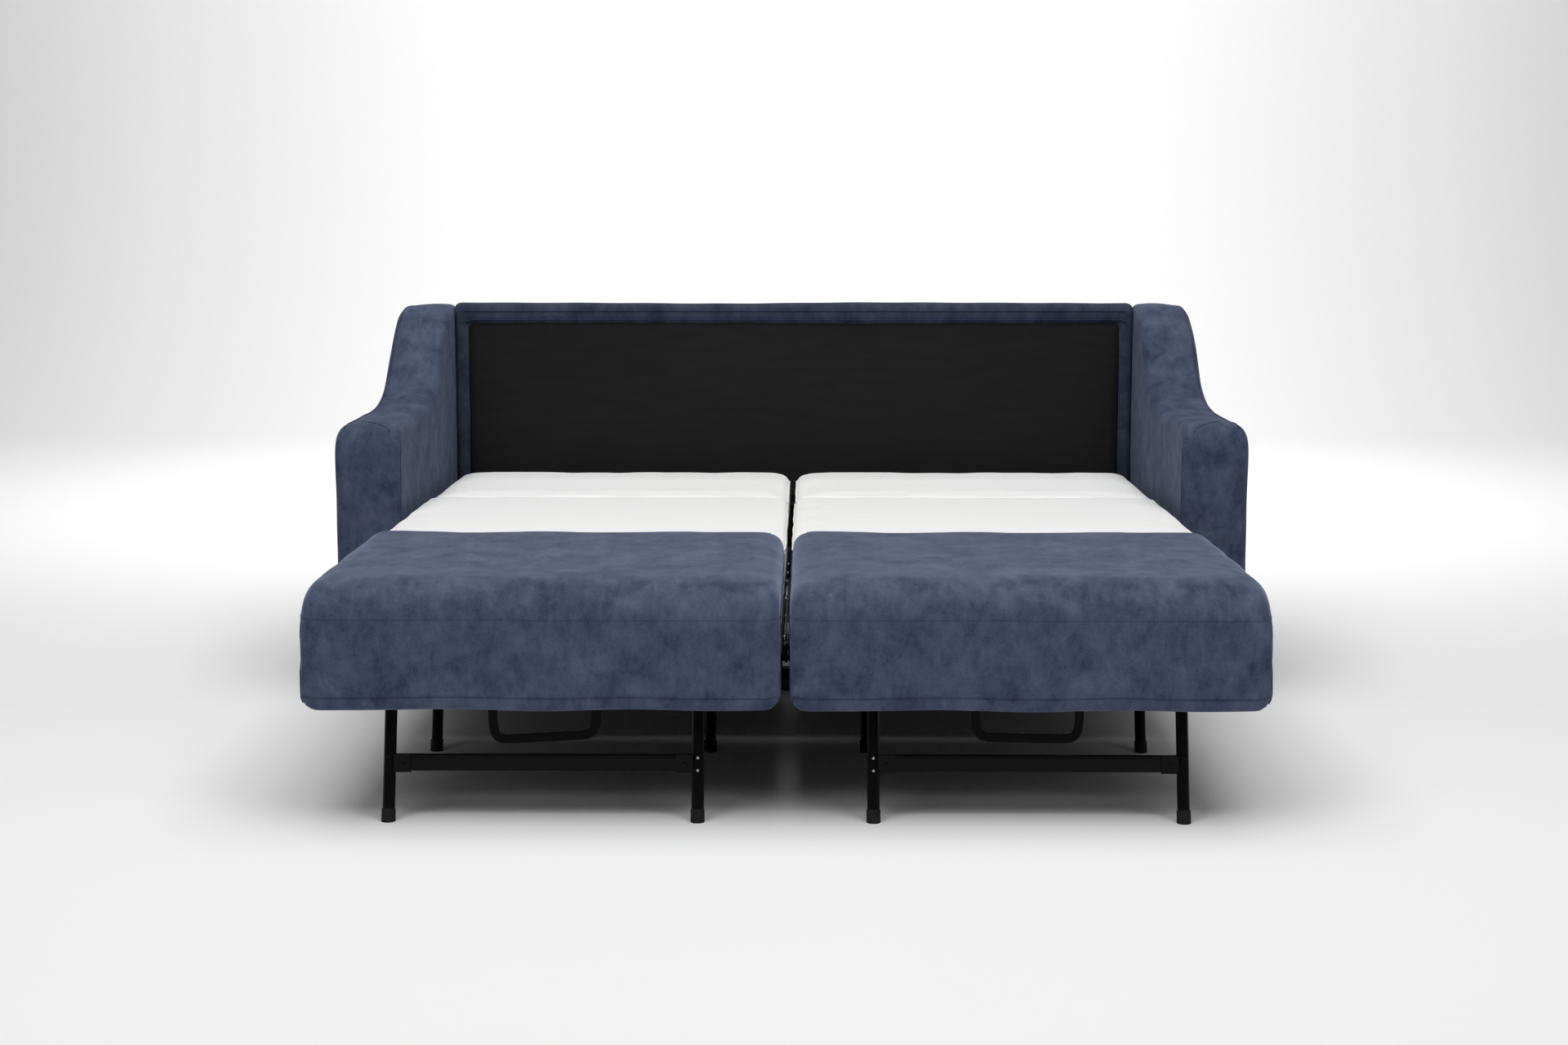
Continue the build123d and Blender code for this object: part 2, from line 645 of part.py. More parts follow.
def make_legs(name, side, place, pivot_y, foot_y):
    """Two leaning tubes, a bar between them and a rubber cap under each."""
    direction, length = leg_axis(pivot_y, foot_y)
    axis = Plane(origin=(leg_offset, pivot_y, leg_pivot_height), x_dir=(1, 0, 0), z_dir=direction)
    tube_end = length - cap_floor
    outer = extrude(axis * Circle(leg_tube / 2), amount=tube_end)
    bore = extrude(axis.offset(leg_tube) * Circle(leg_tube / 2 - leg_wall), amount=tube_end - leg_tube)
    head = rod(leg_offset - leg_tube / 2, leg_offset + leg_tube / 2, pivot_y, leg_pivot_height, leg_tube)
    crown = extrude(axis.offset(-leg_tube / 2) * Circle(leg_tube / 2), amount=leg_tube / 2)
    leg = outer + (crown & head) - bore
    leg -= rod(0, 2 * leg_offset, pivot_y, leg_pivot_height, pin_diameter + 2 * pin_clearance)
    cap = extrude(axis.offset(length - foot_cap_length) * Circle(foot_cap_diameter / 2),
                  amount=2 * foot_cap_length)
    cap = cap - outer - block(0, 2 * leg_offset, 2 * foot_y, 0, -leg_pivot_height, 0)
    bar = leg_bar(foot_bar_y(pivot_y, foot_y)) - pair(outer)
    if name == "front":
        save(f"front_legs_{side}", place * pair(leg))
        save(f"front_leg_bar_{side}", place * bar)
    else:
        save(f"rear_legs_{side}", place * (pair(leg) + bar))
    save(f"{name}_leg_feet_{side}", place * pair(cap))


def foot_bar_y(pivot_y, foot_y):
    """Where the bar crosses the leaning legs."""
    return pivot_y + (foot_y - pivot_y) * (leg_pivot_height - leg_bar_height) / leg_pivot_height


def make_leg_fittings(side, place):
    """What holds the front bar: a plate at each end, its bolt, and two rivets in each leg."""
    bar_y = foot_bar_y(front_leg_y, front_foot_y)
    plate_y = bar_y - leg_bar_deep / 2 - bracket_plate
    inner = leg_offset - leg_tube / 2
    half_height = leg_bar_tall / 2 + 1.0
    bracket = block(inner - bracket_length, inner + plate_lip, plate_y, plate_y + bracket_plate,
                    leg_bar_height - half_height, leg_bar_height + half_height)
    direction, length = leg_axis(front_leg_y, front_foot_y)
    axis = Plane(origin=(leg_offset, front_leg_y, leg_pivot_height), x_dir=(1, 0, 0), z_dir=direction)
    solid_leg = extrude(axis * Circle(leg_tube / 2), amount=length)
    facing = Plane(origin=(inner - bracket_length * 0.45, plate_y, leg_bar_height - 3.0),
                   x_dir=(1, 0, 0), z_dir=(0, -1, 0))
    bolt = extrude(facing * Circle(bolt_diameter / 2), amount=bolt_height)
    shapes = [bracket - solid_leg, bolt]
    for shift in (-rivet_shift, rivet_shift):
        distance = length * (1 - leg_bar_height / leg_pivot_height) + shift
        centre = (leg_offset, front_leg_y + direction[1] * distance,
                  leg_pivot_height + direction[2] * distance)
        outward = Plane(origin=centre, x_dir=(1, 0, 0), z_dir=(0, direction[2], -direction[1]))
        rivet = extrude(outward * Circle(rivet_diameter / 2), amount=leg_tube / 2 + rivet_height)
        shapes += [rivet - solid_leg]
    solids = [solid for shape in shapes for solid in pair(shape).solids()]
    save(f"front_leg_fittings_{side}", place * Compound(children=solids))


# ---------------------------------------------------------------- bed: head section
def make_head(side, place):
    y0 = head_front + head_frame_front
    y1 = head_pivot_y - head_frame_rear
    half = head_frame_half
    bars = evenly(y0 + crossbar_width / 2, y1 - crossbar_width / 2, 3)
    bar_bottom = sleep_frame_top - crossbar_height
    frame = ladder_frame(y0, y1, sleep_frame_bottom, sleep_frame_top, bar_bottom, bars, half)
    radius = head_lug_radius
    z = head_pivot_height
    lug_start = y1 - head_lug_length
    lug = prism([(lug_start, sleep_frame_bottom), (y1, sleep_frame_bottom),
                 (head_pivot_y + radius, z), (head_pivot_y - radius, z),
                 (lug_start, sleep_frame_top)], half, half + plate)
    lug += rod(half, half + plate, head_pivot_y, z, 2 * radius)
    pin_end = bed_half + bed_gap / 2 - head_pin_gap
    pin = rod(half + plate, pin_end, head_pivot_y, z, head_pin_diameter)
    frame += pair(lug + pin)
    save(f"head_frame_{side}", place * frame)
    deck = block(-half, half, y0 - head_deck_lip, y1, sleep_frame_top, sleep_underside)
    save(f"head_deck_{side}", place * deck)
    mattress = prism(head_outline(), -bed_half, bed_half)
    pocket = block(half - 1.0, bed_half, lug_start, head_end, sleep_underside, z + radius + 3.0)
    save(f"head_mattress_{side}", place * (mattress - pair(pocket)))


# ---------------------------------------------------------------- the whole model
def main():
    os.makedirs("parts", exist_ok=True)
    make_arms()
    make_back()
    make_base()
    make_head_brackets()
    make_base_bolts()
    for side, x in (("left", -bed_centre), ("right", bed_centre)):
        place = Pos(x, 0, 0)
        make_trolley(side, place)
        make_lift_arms(side, place)
        make_middle(side, place)
        make_swing_links(side, place)
        make_seat(side, place)
        make_strap(side, place)
        make_legs("front", side, place, front_leg_y, front_foot_y)
        make_legs("rear", side, place, rear_leg_y, rear_foot_y)
        make_leg_fittings(side, place)
        make_head(side, place)
    print("Bed slide", trolley_travel, "mm; lift arms", lift_arm_swing, "degrees")
    print("Swing links", round(swing_link_sweep, 2), "degrees, between pivots",
          round(seat_link_height, 1), "and", link_pivot_height, "mm up")
    print("Front legs", round(front_leg_fold, 2), "degrees, rear legs", round(rear_leg_fold, 2))
    print("Pull strap turns", strap_pivot_height, "mm up")


main()
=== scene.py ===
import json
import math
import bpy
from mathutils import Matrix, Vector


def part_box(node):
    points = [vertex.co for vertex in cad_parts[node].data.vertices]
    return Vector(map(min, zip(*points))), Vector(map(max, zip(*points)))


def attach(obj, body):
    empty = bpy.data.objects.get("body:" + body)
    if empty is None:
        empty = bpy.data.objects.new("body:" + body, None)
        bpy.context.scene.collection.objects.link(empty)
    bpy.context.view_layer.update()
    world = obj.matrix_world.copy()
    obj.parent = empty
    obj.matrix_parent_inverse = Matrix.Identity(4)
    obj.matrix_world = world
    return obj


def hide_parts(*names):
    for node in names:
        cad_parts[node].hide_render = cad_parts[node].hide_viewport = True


bl_info = {
    "name": "Pull-out Sofa Bed",
    "version": (1, 0, 0),
    "blender": (4, 5, 0),
    "location": "View3D > Sidebar > Sofa Bed",
    "description": "Upholstery, mattresses and finishes of a sofa with two pull-out beds",
    "category": "Add Mesh",
}

import bmesh
import bpy
import numpy as np
from bpy.props import FloatProperty, FloatVectorProperty, PointerProperty
from mathutils import Vector
from mathutils.bvhtree import BVHTree

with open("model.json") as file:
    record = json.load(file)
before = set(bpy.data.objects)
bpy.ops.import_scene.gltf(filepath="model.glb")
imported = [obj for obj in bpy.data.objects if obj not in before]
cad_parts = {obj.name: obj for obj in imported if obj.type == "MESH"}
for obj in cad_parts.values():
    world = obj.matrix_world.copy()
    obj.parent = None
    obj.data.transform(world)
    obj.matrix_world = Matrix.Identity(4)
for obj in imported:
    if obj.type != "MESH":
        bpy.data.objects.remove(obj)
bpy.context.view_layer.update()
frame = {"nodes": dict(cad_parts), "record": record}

SIDES = ("left", "right")
OUTLINE_STEP = 0.010      # metres between the points of a side outline
RING_STEP = 0.012         # metres between the rings across a cushion
CORNER_POINTS = 12
FACE_RINGS = 9            # rings on each flat side face
ROUND_RINGS = 7           # rings over each rounded edge
TUBE_SIDES = 8
SEAM_STEP = 0.012         # metres between the points of a seam
RIVET_SIDES = 12
SIM_FRAMES = 20
SEED = 7


# ------------------------------------------------------------ the sizes and colours a user changes
def length(name, text, value, top=1.0):
    return FloatProperty(name=name, description=text, default=value, min=0.0, max=top,
                         subtype="DISTANCE", unit="LENGTH")


def colour(name, text, value):
    return FloatVectorProperty(name=name, description=text, default=value, size=3,
                               min=0.0, max=1.0, subtype="COLOR")


class SofaBedSizes(bpy.types.PropertyGroup):
    """Sizes of the upholstery, in metres."""
    seat_crown: length("Seat crown", "How far the seat's middle rises over its edges", 0.004)
    seat_round: length("Seat edge", "Radius along the seat's two long edges", 0.034)
    seat_fall: length("Waterfall depth", "How far back the seat's front curve starts", 0.110)
    seat_drop: length("Waterfall height", "How far down the seat's front curve ends", 0.080)
    mattress_crown: length("Mattress crown", "How far a mattress's middle rises", 0.004)
    mattress_round: length("Mattress edge", "Radius along the mattress's long edges", 0.018)
    head_round: length("Head corner", "Radius of the head section's corners", 0.030)
    arm_outer_round: length("Arm outer edge", "Radius of the arm's outer edge", 0.022)
    arm_inner_round: length("Arm inner edge", "Radius of the arm's inner edge", 0.022)
    welt: length("Welt", "Radius of the sewn seams", 0.0022)
    ripple: length("Ripple", "Height of the soft waves in the covers", 0.0016)
    voxel: length("Cloth grid", "Grid of the simulated covers", 0.011)
    cap: length("Swell", "How far a simulated cover may stand off its form", 0.0025)
    slack: length("Slack", "How much smaller a cover starts before it swells", 0.001)
    hem: length("Hem", "Height of the hem band on the seat's front", 0.022)
    stitch: length("Stitch", "Length of one stitch", 0.006)


class SofaBedColours(bpy.types.PropertyGroup):
    """Colours of the fabrics and finishes."""
    velvet_deep: colour("Velvet, brushed down", "Dark side of the pile", (0.030, 0.041, 0.080))
    # Dark seam colour, also used as a painted shadow line along the back panel's top edge.
    velvet_pile: colour("Velvet, brushed up", "Light side of the pile", (0.083, 0.103, 0.162))
    seam_and_shadow_dark: colour("Dark seams and painted shadow", "Seams and shaded edges", (0.012, 0.016, 0.040))
    ticking: colour("Ticking", "Mattress fabric", (0.92, 0.92, 0.915))
    ticking_shade: colour("Ticking shade", "Between the threads", (0.82, 0.82, 0.815))
    lining: colour("Lining", "Black lining cloth", (0.018, 0.018, 0.018))
    webbing: colour("Webbing", "Pull straps", (0.0035, 0.0035, 0.004))
    steel: colour("Black steel", "Powder coat", (0.003, 0.003, 0.0032))
    worn: colour("Worn coat", "Powder coat where it is rubbed", (0.007, 0.007, 0.0075))
    zinc: colour("Zinc", "Plated pins and rivets", (0.42, 0.43, 0.44))
    timber: colour("Timber", "Pale softwood and plywood", (0.56, 0.40, 0.24))
    timber_dark: colour("Timber grain", "Darker growth rings", (0.36, 0.23, 0.12))
    rubber: colour("Rubber", "Feet of the legs", (0.006, 0.006, 0.006))
    nylon: colour("Nylon", "Glides", (0.74, 0.72, 0.67))
    floor: colour("Floor", "Studio floor", (0.86, 0.86, 0.86))


# ------------------------------------------------------------ mesh helpers
def finish_mesh(name, points, quads, fans=()):
    """A closed or open surface from point and face arrays, with its faces turned outwards."""
    mesh = bpy.data.meshes.new(name)
    mesh.from_pydata(np.asarray(points, float).tolist(), [],
                     np.asarray(quads, int).tolist() + [list(map(int, face)) for face in fans])
    shape = bmesh.new()
    shape.from_mesh(mesh)
    bmesh.ops.recalc_face_normals(shape, faces=shape.faces)
    shape.to_mesh(mesh)
    shape.free()
    mesh.polygons.foreach_set("use_smooth", np.ones(len(mesh.polygons), bool))
    piece = bpy.data.objects.new(name, mesh)
    bpy.context.scene.collection.objects.link(piece)
    return piece


def points_of(mesh):
    flat = np.empty(len(mesh.vertices) * 3, np.float32)
    mesh.vertices.foreach_get("co", flat)
    return flat.reshape(-1, 3).astype(float)


def normals_of(mesh):
    flat = np.empty(len(mesh.vertices) * 3, np.float32)
    mesh.vertices.foreach_get("normal", flat)
    return flat.reshape(-1, 3).astype(float)


def move_points(mesh, points):
    mesh.vertices.foreach_set("co", np.asarray(points, np.float32).ravel())
    mesh.update()


def evaluated_points(piece):
    shown = piece.evaluated_get(bpy.context.evaluated_depsgraph_get())
    points = points_of(shown.to_mesh())
    shown.to_mesh_clear()
    return points


def bake_modifiers(piece):
    """Keep the mesh that the modifiers make, and drop them."""
    shown = piece.evaluated_get(bpy.context.evaluated_depsgraph_get())
    mesh = bpy.data.meshes.new_from_object(shown)
    piece.modifiers.clear()
    piece.data = mesh
    mesh.polygons.foreach_set("use_smooth", np.ones(len(mesh.polygons), bool))


def smoothstep(value, start, end):
    """0 before start and 1 after end, with a smooth rise between: 3t^2 - 2t^3."""
    t = np.clip((value - start) / (end - start), 0, 1)
    return t * t * (3 - 2 * t)


def evenly(line, step):
    """The same line with its points the same distance apart, measured along it."""
    runs = np.linalg.norm(np.diff(line, axis=0), axis=1)
    along = np.concatenate([[0.0], np.cumsum(runs)])
    where = np.linspace(0, along[-1], max(3, int(along[-1] / step)) + 1)
    return np.column_stack([np.interp(where, along, line[:, k]) for k in range(line.shape[1])])


def corner_outline(corners, step=OUTLINE_STEP):
    """A closed (y, z) outline. Each corner (y, z, before, after) is the quadratic curve that starts
    that far before the corner on one straight run and ends that far after it on the next."""
    places = np.array([corner[:2] for corner in corners], float)
    reach = np.array([corner[2:] for corner in corners], float)
    back = np.roll(places, 1, 0) - places
    on = np.roll(places, -1, 0) - places
    back *= (reach[:, 0] / np.linalg.norm(back, axis=1))[:, None]
    on *= (reach[:, 1] / np.linalg.norm(on, axis=1))[:, None]
    t = np.linspace(0, 1, CORNER_POINTS)[None, :, None]
    curves = places[:, None] + (1 - t) ** 2 * back[:, None] + t ** 2 * on[:, None]
    line = curves.reshape(-1, 2)
    return evenly(np.vstack([line, line[:1]]), step)[:-1]


def outward(outline):
    """Unit normals of a closed outline: each is square to the run from the point before to the point
    after, on the side away from the inside."""
    after = np.roll(outline, -1, 0)
    run = after - np.roll(outline, 1, 0)
    area = np.sum(outline[:, 0] * after[:, 1] - after[:, 0] * outline[:, 1])
    square = np.column_stack([run[:, 1], -run[:, 0]]) * np.sign(area)
    return square / np.linalg.norm(square, axis=1)[:, None]


def side_rings(outline, pole, x, radius, inward):
    """Rings of one side of a cushion. On the flat face the outline shrinks towards the pole. Over
    the rounded edge it is drawn in by r(1 - sin a) and stands r(1 - cos a) inside the face."""
    away = outward(outline)
    face = outline - away * radius
    share = np.linspace(1 / FACE_RINGS, 1, FACE_RINGS)[:-1]
    a = np.linspace(0, math.pi / 2, ROUND_RINGS)
    flat = pole + share[:, None, None] * (face - pole)
    turned = outline - away * (radius * (1 - np.sin(a)))[:, None, None]
    across = np.concatenate([np.full(len(share), x), x + inward * radius * (1 - np.cos(a))])
    return across, np.concatenate([flat, turned])


def ring_quads(rings, size, closed=False):
    """Faces between neighbouring rings of the same size, with the last ring joined to the first
    where the shape is closed."""
    rows = rings if closed else rings - 1
    row, column = np.meshgrid(np.arange(rows), np.arange(size), indexing="ij")
    after, following = (row + 1) % rings, (column + 1) % size
    return np.stack([row * size + column, row * size + following,
                     after * size + following, after * size + column], -1).reshape(-1, 4)


def upholstered(name, outline, pole, x0, x1, round0, round1):
    """A closed cushion form: rings of one outline from a pole on one side, over a rounded edge,
    across the width, over the other edge and in to the other pole."""
    pole = np.asarray(pole, float)
    xa, rings_a = side_rings(outline, pole, x0, round0, 1)
    xb, rings_b = side_rings(outline, pole, x1, round1, -1)
    count = max(2, int((xb[-1] - xa[-1]) / RING_STEP))
    between = np.linspace(xa[-1], xb[-1], count + 1)[1:-1]
    across = np.concatenate([xa, between, xb[::-1]])
    rings = np.concatenate([rings_a, np.repeat(outline[None], len(between), 0), rings_b[::-1]])
    size = len(outline)
    grid = np.concatenate([np.repeat(across[:, None], size, 1)[..., None], rings], axis=2)
    points = np.vstack([grid.reshape(-1, 3), [[x0, *pole]], [[x1, *pole]]])
    quads = ring_quads(len(across), size)
    turn = np.arange(size)
    last = (len(across) - 1) * size
    first_fan = np.column_stack([np.full(size, len(points) - 2), turn, (turn + 1) % size])
    last_fan = np.column_stack([np.full(size, len(points) - 1), last + (turn + 1) % size, last + turn])
    return finish_mesh(name, points, quads, np.vstack([first_fan, last_fan]))


def waves(points, seed, shortest=0.10, longest=0.34, count=9):
    """Low soft waves: the mean of a few sines in fixed random directions, from -1 to 1."""
    dice = np.random.default_rng(seed)
    direction = dice.normal(size=(count, 3))
    direction /= np.linalg.norm(direction, axis=1)[:, None]
    wavelength = dice.uniform(shortest, longest, count)
    phase = dice.uniform(0, 2 * math.pi, count)
    turns = points @ (direction * (2 * math.pi / wavelength)[:, None]).T + phase
    return np.sin(turns).mean(1) * 2


def soften(piece, seed, amount):
    """Move the cover in and out along its normals by the soft waves."""
    points = points_of(piece.data)
    move = waves(points, seed)[:, None] * normals_of(piece.data) * amount
    move_points(piece.data, points + move)


def raise_crown(piece, low, high, amount):
    """Lift the top towards the middle: amount (1 - |u|^3)(1 - |v|^3) over the upper half, where u
    and v run from -1 to 1 across and along the cushion."""
    points = points_of(piece.data)
    middle, half = (low + high) / 2, (high - low) / 2
    u = np.clip(np.abs((points[:, 0] - middle[0]) / half[0]), 0, 1)
    v = np.clip(np.abs((points[:, 1] - middle[1]) / half[1]), 0, 1)
    upper = smoothstep(points[:, 2], middle[2], high[2] - amount)
    points[:, 2] += amount * (1 - u ** 3) * (1 - v ** 3) * upper
    move_points(piece.data, points)


def square_front(piece, low, high, radius, share=0.65):
    """Sharpen the two upright front edges. Over an edge the outline stands r(1 - sqrt(1 - e^2))
    back, where e runs from 0 to 1 over the rounding, and a share of that is taken away again low
    down at the front."""
    points = points_of(piece.data)
    middle, half = (low[0] + high[0]) / 2, (high[0] - low[0]) / 2
    e = np.clip((np.abs(points[:, 0] - middle) - half + radius) / radius, 0, 1)
    front = 1 - smoothstep(points[:, 1], low[1] + radius, low[1] + 1.6 * radius)
    upright = 1 - smoothstep(points[:, 2], high[2] - 0.10, high[2] - 0.04)
    points[:, 1] -= share * radius * (1 - np.sqrt(1 - e * e)) * front * upright
    move_points(piece.data, points)


def shortened(move, most):
    """The same moves, none of them longer than the most."""
    far = np.maximum(np.linalg.norm(move, axis=1), 1e-9)[:, None]
    return move * np.minimum(1, most / far)


def swell(piece, sizes, low, high):
    """Blow the cover up with air: an even grid, a slightly smaller start, cloth under pressure with
    no gravity, and each point held close to the drawn form and inside the room it has."""
    scene = bpy.context.scene
    form = BVHTree.FromObject(piece, bpy.context.evaluated_depsgraph_get())
    grid = piece.modifiers.new("Even grid", "REMESH")
    grid.mode = "VOXEL"
    grid.voxel_size = sizes.voxel
    bake_modifiers(piece)
    move_points(piece.data, points_of(piece.data) - normals_of(piece.data) * sizes.slack)
    start = points_of(piece.data)
    cloth = piece.modifiers.new("Air", "CLOTH")
    cloth.settings.use_pressure = True
    cloth.settings.uniform_pressure_force = 4
    cloth.settings.effector_weights.gravity = 0
    cloth.point_cache.frame_start = 1
    cloth.point_cache.frame_end = SIM_FRAMES
    for number in range(1, SIM_FRAMES + 1):
        scene.frame_set(number)
    move = evaluated_points(piece) - start
    piece.modifiers.clear()
    scene.frame_set(1)
    move_points(piece.data, start + shortened(move, sizes.cap * 2))
    rounder = piece.modifiers.new("Round", "SUBSURF")
    rounder.levels = rounder.render_levels = 1
    bake_modifiers(piece)
    points = points_of(piece.data)
    drawn = np.array([list(form.find_nearest(Vector(point))[0]) for point in points])
    move_points(piece.data, np.clip(drawn + shortened(points - drawn, sizes.cap), low, high))


def copied(piece, name, shift):
    """The same mesh further along X, under another name."""
    mesh = piece.data.copy()
    points = points_of(mesh)
    points[:, 0] += shift
    move_points(mesh, points)
    twin = bpy.data.objects.new(name, mesh)
    bpy.context.scene.collection.objects.link(twin)
    return twin


def on_cover(piece, path, lift):
    """Each point of the path moved to the nearest place on the piece, and lifted off it."""
    tree = BVHTree.FromObject(piece, bpy.context.evaluated_depsgraph_get())
    hits = [tree.find_nearest(Vector(point)) for point in path]
    places = np.array([list(hit[0]) for hit in hits])
    return places + np.array([list(hit[1]) for hit in hits]) * lift


def frames_along(path, closed):
    """Unit tangents, and two unit directions square to each: the first is square to the line's own
    mean plane where it has one."""
    if closed:
        tangent = np.roll(path, -1, 0) - np.roll(path, 1, 0)
    else:
        tangent = np.gradient(path, axis=0)
    tangent /= np.maximum(np.linalg.norm(tangent, axis=1), 1e-9)[:, None]
    spread = np.linalg.svd(path - path.mean(0), full_matrices=False)[2]
    first = spread[2] - tangent * (tangent @ spread[2])[:, None]
    first /= np.linalg.norm(first, axis=1)[:, None]
    return tangent, first, np.cross(tangent, first)


def swept(name, path, profile, closed=False):
    """A profile of (a, b) points carried along a path, a along the line's plane normal and b square
    to it, with both ends closed where the path is open."""
    path = np.asarray(path, float)
    _, first, second = frames_along(path, closed)
    rings = (path[:, None] + first[:, None] * profile[None, :, :1]
             + second[:, None] * profile[None, :, 1:])
    count, size = rings.shape[:2]
    quads = ring_quads(count, size, closed)
    ends = [] if closed else [list(range(size)), [(count - 1) * size + k for k in range(size)]]
    return finish_mesh(name, rings.reshape(-1, 3), quads, ends)


def circle(radius):
    a = np.arange(TUBE_SIDES) * 2 * math.pi / TUBE_SIDES
    return np.column_stack([np.cos(a), np.sin(a)]) * radius


def band(across, thick):
    """A flat strip's profile with rounded edges: a superellipse, which is nearly a rectangle."""
    a = np.linspace(0, 2 * math.pi, 20, endpoint=False)
    square = 0.4
    ca, sa = np.cos(a), np.sin(a)
    return np.column_stack([np.sign(ca) * np.abs(ca) ** square * thick / 2,
                            np.sign(sa) * np.abs(sa) ** square * across / 2])


def stitches(name, path, long, gap, radius):
    """A row of stitches: a six-sided spindle repeated along the path."""
    line = evenly(np.asarray(path, float), long + gap)
    tangent, first, second = frames_along(line, False)
    station = np.array([-0.5, -0.3, 0.3, 0.5]) * long
    width = np.array([0.35, 1.0, 1.0, 0.35]) * radius
    a = np.arange(6) * math.pi / 3
    ring = (station[:, None, None] * np.array([1.0, 0, 0])
            + width[:, None, None] * np.stack([0 * a, np.cos(a), np.sin(a)], -1)[None])
    local = ring.reshape(-1, 3)
    axes = np.stack([tangent, first, second], 1)
    points = line[:, None] + np.einsum("pk,nkc->npc", local, axes)
    shift = np.arange(len(line)) * len(local)
    faces = (ring_quads(4, 6)[None] + shift[:, None, None]).reshape(-1, 4)
    caps = np.concatenate([np.arange(6)[None] + shift[:, None],
                           np.arange(18, 24)[None] + shift[:, None]])
    return finish_mesh(name, points.reshape(-1, 3), faces, caps)


def flat_cloth(name, low, high, y, seed, amount):
    """An upright stretched cloth: a grid over x and z whose middle waves in and out in y, fading to
    nothing at the tacked edges."""
    nx, nz = int((high[0] - low[0]) / 0.02), int((high[1] - low[1]) / 0.02)
    s, t = np.meshgrid(np.linspace(0, 1, nx), np.linspace(0, 1, nz), indexing="ij")
    x = low[0] + s * (high[0] - low[0])
    z = low[1] + t * (high[1] - low[1])
    flat = np.stack([x, np.full_like(x, y), z], -1).reshape(-1, 3)
    fade = (16 * s * (1 - s) * t * (1 - t)).ravel() ** 0.5
    flat[:, 1] += waves(flat, seed, 0.2, 0.6) * fade * amount
    i, j = np.meshgrid(np.arange(nx - 1), np.arange(nz - 1), indexing="ij")
    quads = np.stack([i * nz + j, (i + 1) * nz + j, (i + 1) * nz + j + 1, i * nz + j + 1], -1)
    piece = finish_mesh(name, flat, quads.reshape(-1, 4))
    wall = piece.modifiers.new("Cloth", "SOLIDIFY")
    wall.thickness = 0.0016
    wall.offset = 0
    return piece


# ------------------------------------------------------------ material helpers
def group_tree(name, inputs, outputs):
    """A shader node group with named sockets, or None and the group where it is already built."""
    if name in bpy.data.node_groups:
        return None, bpy.data.node_groups[name]
    tree = bpy.data.node_groups.new(name, "ShaderNodeTree")
    for label, kind, value in inputs:
        socket = tree.interface.new_socket(label, in_out="INPUT", socket_type=kind)
        socket.default_value = value
    for label, kind in outputs:
        tree.interface.new_socket(label, in_out="OUTPUT", socket_type=kind)
    return tree, tree


def node(tree, kind, values=None, **settings):
    made = tree.nodes.new(kind)
    for key, value in settings.items():
        setattr(made, key, value)
    for key, value in (values or {}).items():
        made.inputs[key].default_value = value
    return made


def join(tree, source, target):
    tree.links.new(source, target)


def feed(tree, value, socket):
    """Set the socket to a number, or link it to another socket."""
    if isinstance(value, (int, float)):
        socket.default_value = value
    else:
        join(tree, value, socket)


def math_node(tree, operation, a, b):
    made = node(tree, "ShaderNodeMath", operation=operation)
    feed(tree, a, made.inputs[0])
    feed(tree, b, made.inputs[1])
    return made.outputs[0]


def noise(tree, vector, scale, detail=3.0, roughness=0.55, distortion=0.0):
    made = node(tree, "ShaderNodeTexNoise", {"Detail": detail, "Roughness": roughness,
                                             "Distortion": distortion})
    join(tree, vector, made.inputs["Vector"])
    feed(tree, scale, made.inputs["Scale"])
    return made.outputs[0]


def ranged(tree, value, start, end, low=0.0, high=1.0):
    made = node(tree, "ShaderNodeMapRange", {"From Min": start, "From Max": end,
                                             "To Min": low, "To Max": high})
    join(tree, value, made.inputs["Value"])
    return made.outputs[0]


def stretched(tree, vector, scale):
    made = node(tree, "ShaderNodeMapping", {"Scale": scale})
    join(tree, vector, made.inputs["Vector"])
    return made.outputs[0]


def mixed(tree, share, first, second):
    made = node(tree, "ShaderNodeMix", data_type="RGBA")
    join(tree, share, made.inputs[0])
    join(tree, first, made.inputs[6])
    join(tree, second, made.inputs[7])
    return made.outputs[2]


COLOUR, VALUE = "NodeSocketColor", "NodeSocketFloat"


def pile_group():
    """Brushed pile: broad patches and finer streaks decide which way the pile lies, from deep to
    light, and a very fine grain lifts it."""
    tree, group = group_tree("Brushed Pile", [
        ("Deep", COLOUR, (0.04, 0.05, 0.09, 1)), ("Light", COLOUR, (0.08, 0.1, 0.14, 1)),
        ("Patch Scale", VALUE, 12.0), ("Streak Scale", VALUE, 46.0)],
        [("Colour", COLOUR), ("Roughness", VALUE), ("Height", VALUE)])
    if tree is None:
        return group
    given = node(tree, "NodeGroupInput")
    place = node(tree, "ShaderNodeTexCoord").outputs["Object"]
    patch = noise(tree, place, given.outputs["Patch Scale"], 5.0, 0.62, 0.5)
    streak = noise(tree, stretched(tree, place, (1.0, 0.45, 0.6)), given.outputs["Streak Scale"],
                   6.0, 0.68, 0.3)
    fine = noise(tree, place, 420.0, 2.0)
    blend = math_node(tree, "ADD", math_node(tree, "MULTIPLY", patch, 0.55),
                      math_node(tree, "MULTIPLY", streak, 0.45))
    lie = ranged(tree, blend, 0.37, 0.63)
    speck = ranged(tree, fine, 0.3, 0.7, -0.16, 0.16)
    share = math_node(tree, "MAXIMUM", math_node(tree, "ADD", lie, speck), 0.0)
    made = node(tree, "NodeGroupOutput")
    join(tree, mixed(tree, share, given.outputs["Deep"], given.outputs["Light"]), made.inputs["Colour"])
    join(tree, ranged(tree, lie, 0, 1, 0.92, 0.74), made.inputs["Roughness"])
    height = math_node(tree, "ADD", math_node(tree, "MULTIPLY", fine, 0.5),
                       math_node(tree, "MULTIPLY", streak, 0.5))
    join(tree, height, made.inputs["Height"])
    return group


